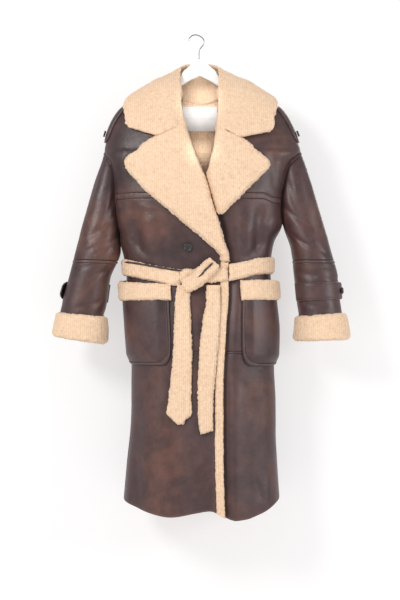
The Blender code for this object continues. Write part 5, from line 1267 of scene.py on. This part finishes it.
def bar(name, path, width, lift0, lift1, node, n=90, ends=0.45):
    t = np.linspace(0, 1, n)
    P = crom(np.array([(a, 0.0, b) for a, b in path]), t)
    D = np.gradient(P, axis=0); D /= np.linalg.norm(D, axis=1, keepdims=True)
    q = np.stack([-D[:, 2], D[:, 0]], 1)
    v = edge_fine(0.038, 0.0021, 0.0055) * 2 - 1
    w = np.interp(t, np.linspace(0, 1, len(width)), width) * (0.70 + 0.30 * round_share(np.minimum(t, 1 - t), 0.16))
    X = P[:, 0][:, None] + q[:, 0][:, None] * v * w[:, None] / 2
    Z = P[:, 2][:, None] + q[:, 1][:, None] * v * w[:, None] / 2
    B = beta_at(X, Z)
    L = np.linalg.norm(np.diff(P, axis=0), axis=1).sum()
    e = (ends + (1 - ends) * round_share(np.minimum(t, 1 - t) * L, 0.012))[:, None]
    p = strap_share(v, 0.038)[None] * e
    l0 = np.interp(t, np.linspace(0, 1, len(lift0)), lift0)[:, None] + 0 * X
    l1 = np.interp(t, np.linspace(0, 1, len(lift1)), lift1)[:, None] + 0 * X
    return fleece(name, put(Z, B, l0 + 0.0012 + (l1 - l0 - 0.0018) * p), put(Z, B, l0 + 0.0003), node=node, curl=0.0016)


bar('belt_knot_pile_under', [(-0.0395, -0.640), (0.020, -0.640), (0.0800, -0.633)], (0.036, 0.034, 0.037), (0.0045, 0.0055, 0.0045), (0.0135, 0.0135, 0.0135), 'belt_knot_under')
bar('belt_knot_pile_over', [(-0.030, -0.668), (-0.002, -0.653), (0.023, -0.628), (0.047, -0.602)], (0.036, 0.041, 0.036), (0.0145, 0.0145, 0.0165), (0.024, 0.028, 0.027), 'belt_knot_over')


def tail(name, table, lift, node):
    T = np.array(table)
    L = T[0, 0] - T[-1, 0]
    t = edge_fine(L, 0.0021, 0.004)
    z = T[0, 0] - L * t
    xa, xb, dz = (pchip(T[:, [0, k]], z) for k in (1, 2, 3))
    v = edge_fine(0.034, 0.0021, 0.0055)
    X = xa[:, None] + (xb - xa)[:, None] * v
    Z = z[:, None] + dz[:, None] * v
    B = beta_at(X, Z)
    r = round_share(np.minimum(v, 1 - v) * 0.034, 0.0055)[None] * (0.25 + 0.75 * round_share((1 - t) * L, 0.006))[:, None]
    l0 = lift + 0 * X
    wave = 0.0006 * np.sin(z * 90)[:, None]
    return fleece(name, put(Z, B, l0 + 0.0010 + (BELT_T - 0.0010) * r + wave * r), put(Z, B, l0 + 0.0003), node=node, back=False, curl=0.0017)


tail('belt_tail_pile_right', [(-0.664, -0.046, -0.017, 0), (-0.70, -0.051, -0.0165, 0), (-0.75, -0.053, -0.0145, 0), (-0.835, -0.056, -0.012, 0), (-0.903, -0.062, -0.013, 0),
                              (-0.96, -0.069, -0.013, 0), (-0.990, -0.073, -0.013, 0), (-1.006, -0.060, -0.026, 0), (-1.019, -0.046, -0.034, 0)], 0.003, 'belt_tail_right')
tail('belt_tail_pile_left', [(-0.665, 0.028, 0.060, 0), (-0.70, 0.028, 0.0615, 0), (-0.744, 0.021, 0.060, 0), (-0.824, 0.012, 0.054, 0), (-0.88, 0.008, 0.049, 0),
                             (-0.931, 0.007, 0.044, 0), (-0.98, 0.0075, 0.042, 0), (-1.020, 0.009, 0.041, 0.002), (-1.043, 0.013, 0.041, 0.009)], 0.005, 'belt_tail_left')


def piping(name, path, lift, width=0.0042, n=90):
    """the belt's hide edge where it turns to the front, in the darker copy of the leather: painted shade"""
    t = np.linspace(0, 1, n)
    P = crom(np.array([(a, 0.0, b) for a, b in path]), t)
    D = np.gradient(P, axis=0); D /= np.linalg.norm(D, axis=1, keepdims=True)
    q = np.stack([-D[:, 2], D[:, 0]], 1)
    v = np.array([-1, -0.8, -0.4, 0, 0.4, 0.8, 1.0])
    w = width * (0.35 + 0.65 * smooth(np.minimum(t, 1 - t) / 0.08)) * (1 + 0.12 * np.sin(t * 31))
    X = P[:, 0][:, None] + q[:, 0][:, None] * v * w[:, None] / 2
    Z = P[:, 2][:, None] + q[:, 1][:, None] * v * w[:, None] / 2
    B = beta_at(X, Z)
    l = np.interp(t, np.linspace(0, 1, len(lift)), lift)[:, None]
    return shell(name, put(Z, B, l + 0.0014 * np.sqrt(np.clip(1 - v ** 2, 0, 1)) + 0 * X), put(Z, B, l - 0.0016 + 0 * X), ('leather_shaded_edge',))


pipe_a = piping('belt_edge_right', [(-0.178, -0.600), (-0.150, -0.6045), (-0.110, -0.6125), (-0.070, -0.6205), (-0.034, -0.6265)], (0.0116, 0.0122, 0.0120), 0.0048)
pipe_b = piping('belt_edge_knot', [(-0.004, -0.6465), (0.012, -0.6405), (0.025, -0.6225), (0.0425, -0.6030)], (0.0250, 0.0300, 0.0285), 0.0050)

# ---------------------------------------------------------------- straps


def strap_shape(P, n, d, name, node, runs_at=0.0035):
    """hide strap with turned edges and a row of stitching near them; d is the distance in from its outline"""
    lift = 0.0012 + 0.0038 * round_share(d, 0.0022) - 0.0010 * np.exp(-((d - runs_at) / 0.0010) ** 2)
    # painted shade along the stitch groove
    mark = 0.9 * np.exp(-((d - runs_at) / 0.0010) ** 2)
    worn = 0.8 * np.exp(-((d - 0.0012) / 0.0014) ** 2)
    # the strap's underside takes the darker copy of the leather: painted shade
    return shell(name, P + n * lift[..., None], P + n * 0.0012, ('leather', 'leather_shaded_edge'), seam_shade=mark, worn=worn, node=node), lift


def outline_distance(S, T, poly):
    d = np.full(S.shape, 1.0)
    q = np.stack([S, T], -1)
    for a, b in zip(poly[:-1], poly[1:]):
        ab = b - a
        L2 = (ab ** 2).sum()
        if L2 < 1e-14:
            continue
        tt = np.clip(((q - a) @ ab) / L2, 0, 1)
        d = np.minimum(d, np.linalg.norm(q - a - tt[..., None] * ab, axis=-1))
    return d


def epaulette(tag, side):
    zt = np.array([-0.193, -0.205, -0.222, -0.245, -0.264, -0.277, -0.286])
    ht = np.array([0.021, 0.021, 0.0215, 0.022, 0.022, 0.021, 0.012])
    z = -0.193 - 0.093 * edge_fine(0.093, 0.0026, 0.006)
    half = np.interp(-z, -zt, ht)
    v = edge_fine(0.042, 0.0026, 0.006) * 2 - 1
    y = -0.010 + half[:, None] * v
    Z = np.repeat(z[:, None], len(v), 1)
    d = np.where(y < 0, col(BODY, 3, Z), col(BODY, 4, Z))
    b = np.sign(-y) * np.arcsin((np.abs(y) / d) ** (col(BODY, 5, Z) / 2))
    if side > 0:
        b = np.where(b >= 0, math.pi - b, -math.pi - b)
    P, n = body(Z, b), normal(Z, b)
    n = n * 0.5 + 0.5 * np.mean(n, axis=1, keepdims=True)
    n /= np.linalg.norm(n, axis=-1, keepdims=True)
    poly = np.concatenate([np.stack([0 * z + half, z], 1), np.stack([0 * z - half, z], 1)[::-1]])
    dd = outline_distance(y + 0.010, Z, np.concatenate([poly, poly[:1]]))
    ob, lift = strap_shape(P, n, dd, 'epaulette_strap_' + tag, 'epaulette_' + tag)
    i, j = int(np.argmin(np.abs(z + 0.264))), len(v) // 2
    return ob, P[i, j], n[i, j], (P, n, lift, dd)


def cuff_strap(tag, side, a_tip, a_end, level, tip_lift, b_ang):
    t = edge_fine(0.22, 0.0030, 0.006)
    phi = np.radians(a_tip + (a_end - a_tip) * t)
    half = np.interp(t, [0, 0.06, 0.12, 1], [0.010, 0.019, 0.0235, 0.0235])
    v = edge_fine(0.047, 0.0028, 0.006) * 2 - 1
    Z = level + v[:, None] * half[None]
    F = np.repeat(phi[None], len(v), 0)
    h = np.interp(t, [0, 0.09, 0.2], [tip_lift, 0.35 * tip_lift, 0.0])[None] + 0 * Z
    P = ring(Z, F, side)
    Q = ring(Z[:, :, None] + np.array([0.003, -0.003, 0, 0]), F[:, :, None] + np.array([0, 0, 0.03, -0.03]), side)
    n = np.cross(Q[:, :, 0] - Q[:, :, 1], Q[:, :, 2] - Q[:, :, 3])
    n /= np.linalg.norm(n, axis=-1, keepdims=True)
    mid = np.array([(ring(level, 0.0, side)[0] + ring(level, math.pi, side)[0]) / 2, ring(level, 0.0, side)[1]])
    n = n * np.sign(np.sum(n[..., :2] * (P[..., :2] - mid), -1))[..., None]
    P = P + n * h[..., None]
    S = np.repeat((t * 0.22)[None], len(v), 0)
    poly = np.concatenate([np.stack([t * 0.22, half], 1), np.stack([t * 0.22, -half], 1)[::-1]])
    dd = outline_distance(S, Z - level, np.concatenate([poly, poly[:1]]))
    ob, lift = strap_shape(P, n, dd, 'cuff_strap_shell_' + tag, 'cuff_strap_' + tag)
    i, j = len(v) // 2, int(np.argmin(np.abs(np.degrees(phi) - b_ang)))
    return ob, P[i, j], n[i, j], (P, n, lift, dd)


def turned(name, p, n, r, t, node, holes=4):
    """turned horn button: rolled rim, dished face, four holes drawn as near-black discs of painted shade, and the
    thread through them
    """
    n = n / np.linalg.norm(n)
    a = np.cross(n, [0, 0, 1.0]); a /= np.linalg.norm(a); b = np.cross(n, a)
    prof = [(0.0, 0.80), (0.06, 0.90), (0.25, 0.985), (0.45, 1.0), (0.70, 0.995), (0.88, 0.96), (0.98, 0.90), (1.0, 0.84), (0.98, 0.78), (0.90, 0.72), (0.76, 0.66), (0.68, 0.58), (0.66, 0.44), (0.655, 0.26)]
    seg = 48
    w = np.linspace(0, 2 * math.pi, seg, endpoint=False)
    V, F = [], []
    for h, q in prof:
        V.append(p + n * (h * t) + (q * r) * (np.cos(w)[:, None] * a + np.sin(w)[:, None] * b))
    V = np.concatenate(V)
    idx = np.arange(len(prof) * seg).reshape(len(prof), seg)
    nx = np.roll(idx, -1, 1)
    F = np.stack([idx[:-1].ravel(), nx[:-1].ravel(), nx[1:].ravel(), idx[1:].ravel()], 1)
    # caps from two half fans of quads
    def cap(row):
        return [(row[0], row[2 * k + 1], row[2 * k + 2], row[2 * k + 3]) for k in range(seg // 2 - 1)]
    F = np.concatenate([F, np.array(cap(idx[-1])), np.array(cap(idx[0]))[:, ::-1]])
    fm = np.zeros(len(F))
    extra_v, extra_f = [V], [F]
    base = len(V)
    for k in range(4):
        c = math.pi / 4 + k * math.pi / 2
        o = p + n * (0.655 * t + 0.00005) + 0.21 * r * (math.cos(c) * a + math.sin(c) * b)
        wq = np.linspace(0, 2 * math.pi, 12, endpoint=False)
        q = 0.085 * r
        ringv = [o + q * s * (np.cos(wq)[:, None] * a + np.sin(wq)[:, None] * b) + n * dh for s, dh in ((1.15, 0.0), (1.0, 0.00012), (0.8, 0.00005))]
        Vv = np.concatenate(ringv)
        ii = base + np.arange(36).reshape(3, 12)
        jn = np.roll(ii, -1, 1)
        f = [np.stack([ii[:-1].ravel(), jn[:-1].ravel(), jn[1:].ravel(), ii[1:].ravel()], 1)]
        f.append(np.array([(ii[-1][0], ii[-1][2 * m_ + 1], ii[-1][2 * m_ + 2], ii[-1][(2 * m_ + 3) % 12]) for m_ in range(5)]))
        extra_v.append(Vv); extra_f += f
        fm = np.concatenate([fm, np.ones(sum(len(x) for x in f))])
        base += 36
    for c in (math.pi / 4, 3 * math.pi / 4):
        d = math.cos(c) * a + math.sin(c) * b
        e = np.cross(n, d)
        rows_ = []
        for s_, up_ in ((-0.22, 0.0), (-0.12, 0.0006), (0.0, 0.0008), (0.12, 0.0006), (0.22, 0.0)):
            for x_, y_ in ((-1, 0.0), (-0.5, 0.35), (0.5, 0.35), (1, 0.0)):
                rows_.append(p + n * (0.655 * t + up_ + y_ * 0.0006) + d * (s_ * r) + e * (x_ * 0.00055))
        Vv = np.array(rows_)
        ii = base + np.arange(20).reshape(5, 4)
        f = []
        for k in range(4):
            for m_ in range(4):
                x = (m_ + 1) % 4
                f.append((ii[k][m_], ii[k][x], ii[k + 1][x], ii[k + 1][m_]))
        extra_v.append(Vv); extra_f.append(np.array(f))
        fm = np.concatenate([fm, np.full(len(f), 2)])
        base += 20
    ob = make(name, np.concatenate(extra_v), np.concatenate(extra_f), ['button_horn', 'hole_shade', 'thread'], fm, None, 40)
    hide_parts(node)
    return ob


# near-black discs in place of the button's holes: painted shade
m, t, b, o = begin('hole_shade', 0.8)
t.links.new(ramp(t, noise(t, o, 700.0), (0.4, (0.004, 0.003, 0.003)), (0.6, (0.010, 0.008, 0.008))), b.inputs['Base Color'])

straps = {}
for side, tag in ((-1, 'right'), (1, 'left')):
    ob, p, n, k = epaulette(tag, side)
    straps['epaulette_' + tag] = (ob, k)
    turned('epaulette_button_turned_' + tag, p + n * 0.0062, n, SMALL_R, 0.0045, 'epaulette_button_' + tag)
ob, p, n, k = cuff_strap('left', 1, -14, 166, -0.678, 0.007, 16)
straps['cuff_left'] = (ob, k)
turned('cuff_button_turned_left', p + n * 0.0062, n, SMALL_R, 0.0045, 'cuff_button_left')
ob, p, n, k = cuff_strap('right', -1, 14, -166, -0.680, 0.008, -16)
straps['cuff_right'] = (ob, k)
turned('cuff_button_turned_right', p + n * 0.0062, n, SMALL_R, 0.0045, 'cuff_button_right')

zq, xq = np.array(-0.565), -0.021
bq = beta_at(xq, zq)
turned('front_button_turned', body(zq, bq) + normal(zq, bq) * 0.0012, normal(zq, bq), BUTTON_R, 0.005, 'front_button')

# ---------------------------------------------------------------- label
z = -0.1785 - 0.0655 * edge_fine(0.0655, 0.0016, 0.003)
x = -0.037 + 0.094 * edge_fine(0.094, 0.0022, 0.003)
X, Z = np.meshgrid(x, z)
B = beta_at(X, Z, True)
fold_line = 0.0007 * np.exp(-((Z + 0.2080) / 0.0022) ** 2) - 0.0004 * np.exp(-((Z + 0.2115) / 0.0018) ** 2)
puff = 0.0006 * np.sin((X + 0.037) / 0.094 * math.pi) * np.sin((Z + 0.244) / 0.0655 * math.pi)
A = put(Z, B, -0.0078 - 0.0006 + 0 * Z) - 0
A[..., 1] -= fold_line + puff
I = put(Z, B, -0.0070 + 0 * Z)
label = shell('neck_label_cloth', A, I, ('label_cloth',), node='neck_label', sharp=60)
edge_z = [(-0.1785 - 0.0022), (-0.244 + 0.0022)]
runs = []
for q in edge_z:
    xx = np.linspace(-0.034, 0.054, 60)
    bb = beta_at(xx, q + 0 * xx, True)
    pp = put(q + 0 * xx, bb, -0.0086 + 0 * xx)
    runs.append((pp, np.repeat(np.array([[0, -1.0, 0]]), 60, 0)))
th_label = thread('neck_label_stitches', runs, ('label_cloth',), 0.0022, 0.0032, 0.0006, 0.0005)

# ---------------------------------------------------------------- hanger
TOP = [(0.008, -0.0624), (-0.002, -0.0665), (-0.019, -0.083), (-0.034, -0.0965), (-0.048, -0.1235), (-0.066, -0.1350), (-0.100, -0.1460), (-0.125, -0.1585), (-0.160, -0.1815), (-0.182, -0.2020)]
LOW = [(0.008, -0.1084), (-0.016, -0.120), (-0.045, -0.138), (-0.090, -0.165), (-0.130, -0.188), (-0.165, -0.208), (-0.184, -0.2140)]
MX = 0.0095
tt = np.linspace(0, 1, 150)
top_r, low_r = crom(np.array(TOP), tt), crom(np.array(LOW), tt)
m_ = lambda A: np.stack([2 * MX - A[:, 0], A[:, 1]], 1)
top_ = np.concatenate([top_r[::-1], m_(top_r)[1:]])
low_ = np.concatenate([low_r[::-1], m_(low_r)[1:]])
w = np.linspace(0, 2 * math.pi, 28, endpoint=False)
c, s_ = np.sign(np.cos(w)) * np.abs(np.cos(w)) ** 0.55, np.sign(np.sin(w)) * np.abs(np.sin(w)) ** 0.42
mid_, half_ = (top_ + low_) / 2, (top_ - low_) / 2
V = mid_[:, None, :] + half_[:, None, :] * s_[None, :, None]
Y = c * (WOOD_T / 2)
V3 = np.stack([V[..., 0], np.broadcast_to(Y, V.shape[:2]), V[..., 1]], -1)
n_, k_ = V3.shape[:2]
idx = np.arange(n_ * k_).reshape(n_, k_)
nx = np.roll(idx, -1, 1)
F = np.stack([idx[:-1].ravel(), nx[:-1].ravel(), nx[1:].ravel(), idx[1:].ravel()], 1)
fan = lambda r_: [(r_[0], r_[2 * k + 1], r_[2 * k + 2], r_[2 * k + 3]) for k in range(len(r_) // 2 - 1)]
F = np.concatenate([F, np.array(fan(idx[0]))[:, ::-1], np.array(fan(idx[-1]))])
wood = make('hanger_wood_turned', V3.reshape(-1, 3), F, ['hanger_paint'], np.zeros(len(F)), None, 60)
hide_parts('hanger_wood')

hook = [(-0.0200, -0.0140), (-0.0165, -0.0060), (-0.0095, 0.0000), (0.0, 0.0016), (0.0090, -0.0010), (0.0175, -0.0070), (0.0210, -0.0145),
        (0.0195, -0.0240), (0.0145, -0.0310), (0.0100, -0.0370), (0.0083, -0.0440), (0.0080, -0.0540), (0.0080, -0.0620)]
P = crom(np.array([(a, 0.0, b) for a, b in hook]), np.linspace(0, 1, 140))
T = np.gradient(P, axis=0); T /= np.linalg.norm(T, axis=1, keepdims=True)
a_ = np.cross(T, np.array([[0, 1.0, 0]])); a_ /= np.linalg.norm(a_, axis=1, keepdims=True)
b_ = np.cross(T, a_)
rr = HOOK_R * np.concatenate([[0.15, 0.6, 0.88], np.ones(137)])
w = np.linspace(0, 2 * math.pi, 16, endpoint=False)
V3 = P[:, None] + rr[:, None, None] * (np.cos(w)[None, :, None] * a_[:, None] + np.sin(w)[None, :, None] * b_[:, None])
idx = np.arange(140 * 16).reshape(140, 16); nx = np.roll(idx, -1, 1)
F = np.stack([idx[:-1].ravel(), nx[:-1].ravel(), nx[1:].ravel(), idx[1:].ravel()], 1)
F = np.concatenate([F, np.array(fan(idx[0]))[:, ::-1], np.array(fan(idx[-1]))])
wire = make('hanger_hook_wire', V3.reshape(-1, 3), F, ['hook_wire'], np.zeros(len(F)), None, 60)
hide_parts('hanger_hook')

# ---------------------------------------------------------------- cut sizes of every piece of hide and cloth that shows, passed to cut(), which does nothing with them
def cut(name, w, l, held, rests, area=None, pieces=()):
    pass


cut('shell_back', 0.56, 1.14, 'hung', ['hanger_wood'], 0.52)
cut('shell_front_right', 0.34, 1.14, 'hung', ['hanger_wood'], 0.30)
cut('shell_front_left', 0.36, 1.14, 'hung', ['hanger_wood'], 0.32)
for tag, w, a in (('right', 0.33, 0.069), ('left', 0.34, 0.076)):
    cut('sleeve_upper_shell_' + tag, w, 0.29, 'hung', ['shell_back', 'shell_front_' + tag], a)
    cut('sleeve_lower_shell_' + tag, 0.36, 0.143, 'hung', ['sleeve_upper_shell_' + tag])
    cut('cuff_pile_' + tag, 0.40, 0.068, 'folded', ['sleeve_lower_shell_' + tag])
    cut('cuff_strap_shell_' + tag, 0.20, 0.047, 'laid', ['sleeve_lower_shell_' + tag])
    cut('epaulette_strap_' + tag, 0.043, 0.122, 'laid', ['shell_back', 'sleeve_upper_shell_' + tag])
cut('collar_pile', 0.95, 0.13, 'folded', ['shell_front_right', 'shell_front_left', 'shell_back'])
cut('collar_stand_pile', 0.20, 0.05, 'folded', ['shell_back'])
cut('lapel_pile_right', 0.20, 0.36, 'folded', ['shell_front_right'], 0.043)
cut('lapel_pile_left', 0.16, 0.23, 'folded', ['shell_front_left'], 0.024)
cut('front_edge_pile', 0.026, 0.64, 'folded', ['shell_front_right'])
cut('pocket_patch_right', 0.175, 0.175, 'laid', ['shell_front_right'], None, ['pocket_stitches_right'])
cut('pocket_patch_left', 0.165, 0.175, 'laid', ['shell_front_left'], None, ['pocket_stitches_left'])
cut('pocket_band_pile_right', 0.20, 0.05, 'folded', ['pocket_patch_right'])
cut('pocket_band_pile_left', 0.19, 0.05, 'folded', ['pocket_patch_left'])
cut('belt_pile_back', 0.04, 0.50, 'stretched', ['shell_back'])
cut('belt_pile_right', 0.04, 0.21, 'stretched', ['shell_front_right'], None, ['belt_edge_right'])
cut('belt_pile_left', 0.04, 0.18, 'stretched', ['shell_front_left'])
cut('belt_tail_pile_right', 0.045, 0.36, 'hung', ['belt_knot_pile_under'])
cut('belt_tail_pile_left', 0.040, 0.385, 'hung', ['belt_knot_pile_under'])
cut('belt_knot_pile_under', 0.036, 0.125, 'folded', ['shell_front_right'])
cut('belt_knot_pile_over', 0.040, 0.115, 'folded', ['belt_knot_pile_under'], None, ['belt_edge_knot'])
cut('neck_label_cloth', 0.094, 0.0655, 'laid', ['shell_back'], None, ['neck_label_stitches'])

# ---------------------------------------------------------------- stage, lights, camera
def flat(name, pts, mat):
    me = bpy.data.meshes.new(name)
    me.from_pydata(pts, [], [(0, 1, 2, 3)])
    ob = bpy.data.objects.new(name, me)
    bpy.context.scene.collection.objects.link(ob)
    me.materials.append(mat)
    ob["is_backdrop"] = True
    return ob


def pale(name, colour, glow, one_sided):
    m = bpy.data.materials.new(name)
    m.use_nodes = True
    t = m.node_tree
    t.nodes.clear()
    out = t.nodes.new('ShaderNodeOutputMaterial')
    d = t.nodes.new('ShaderNodeBsdfDiffuse'); d.inputs['Color'].default_value = (*colour, 1)
    e = t.nodes.new('ShaderNodeEmission'); e.inputs['Color'].default_value = (1.0, 0.992, 0.992, 1); e.inputs['Strength'].default_value = glow
    add = t.nodes.new('ShaderNodeAddShader')
    t.links.new(d.outputs[0], add.inputs[0]); t.links.new(e.outputs[0], add.inputs[1])
    if one_sided:
        g = t.nodes.new('ShaderNodeNewGeometry')
        tr = t.nodes.new('ShaderNodeBsdfTransparent')
        mx = t.nodes.new('ShaderNodeMixShader')
        t.links.new(g.outputs['Backfacing'], mx.inputs[0])
        t.links.new(add.outputs[0], mx.inputs[1]); t.links.new(tr.outputs[0], mx.inputs[2])
        t.links.new(mx.outputs[0], out.inputs['Surface'])
    else:
        t.links.new(add.outputs[0], out.inputs['Surface'])
    return m


wall_y, floor_z = 0.128, -1.62
back_wall = flat('wall', [(-6, wall_y, floor_z), (6, wall_y, floor_z), (6, wall_y, 4.5), (-6, wall_y, 4.5)], pale('wall_paint', (0.46, 0.455, 0.46), 0.53, True))
floor = flat('floor', [(-8, -8, floor_z), (8, -8, floor_z), (8, 8, floor_z), (-8, 8, floor_z)], pale('floor_paint', (0.50, 0.495, 0.49), 0.42, False))
back_wall.visible_diffuse = back_wall.visible_glossy = back_wall.visible_transmission = back_wall.visible_shadow = False

w = bpy.data.worlds.new('studio')
bpy.context.scene.world = w
w.use_nodes = True
w.node_tree.nodes['Background'].inputs['Color'].default_value = (1.0, 0.985, 0.985, 1)
w.node_tree.nodes['Background'].inputs['Strength'].default_value = 0.62


def lamp(name, at, to, size, power, colour=(1, 1, 1)):
    d = bpy.data.lights.new(name, 'AREA')
    d.shape = 'DISK'
    d.size = size
    d.energy = power
    d.color = colour
    o = bpy.data.objects.new(name, d)
    bpy.context.scene.collection.objects.link(o)
    o.location = at
    v = np.array(to) - np.array(at)
    from mathutils import Vector
    o.rotation_mode = 'QUATERNION'
    o.rotation_quaternion = Vector(v).to_track_quat('-Z', 'Y')
    return o


lamp('key', (-1.7, -2.3, 0.7), (0, 0, -0.7), 0.9, 50, (1.0, 0.985, 0.97))
lamp('fill', (2.2, -1.6, -0.3), (0, 0, -0.7), 0.7, 20)
for nm, at, aim, wide, power in (('neck_upper', (0.012, -2.6, -0.14), (0.011, 0.05, -0.190), 2.5, 270), ('neck_lower', (0.0106, -3.42, -0.715), (0.017, 0.045, -0.297), 1.2, 620), ('neck_top', (0.0106, -3.42, -0.715), (0.010, 0.06, -0.136), 1.3, 330)):
    d = bpy.data.lights.new(nm, 'SPOT')
    d.energy, d.spot_size, d.spot_blend, d.shadow_soft_size = power, math.radians(wide), 0.7, 0.03
    o = bpy.data.objects.new(nm, d)
    bpy.context.scene.collection.objects.link(o)
    o.location = at
    o.rotation_mode = 'QUATERNION'
    from mathutils import Vector
    o.rotation_quaternion = (Vector(aim) - Vector(at)).to_track_quat('-Z', 'Y')
lamp('rear', (0.8, 2.6, 0.6), (0, 0, -0.7), 2.0, 30)

cam = bpy.data.cameras.new('camera')
cam.lens, cam.sensor_width = 74.7, 36
co = bpy.data.objects.new('camera', cam)
bpy.context.scene.collection.objects.link(co)
co.location = (0.0106, -3.3, -0.701)
co.rotation_euler = (math.pi / 2, 0, 0)
bpy.context.scene.camera = co
bpy.context.scene.view_settings.view_transform = 'Standard'

lo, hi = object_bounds()
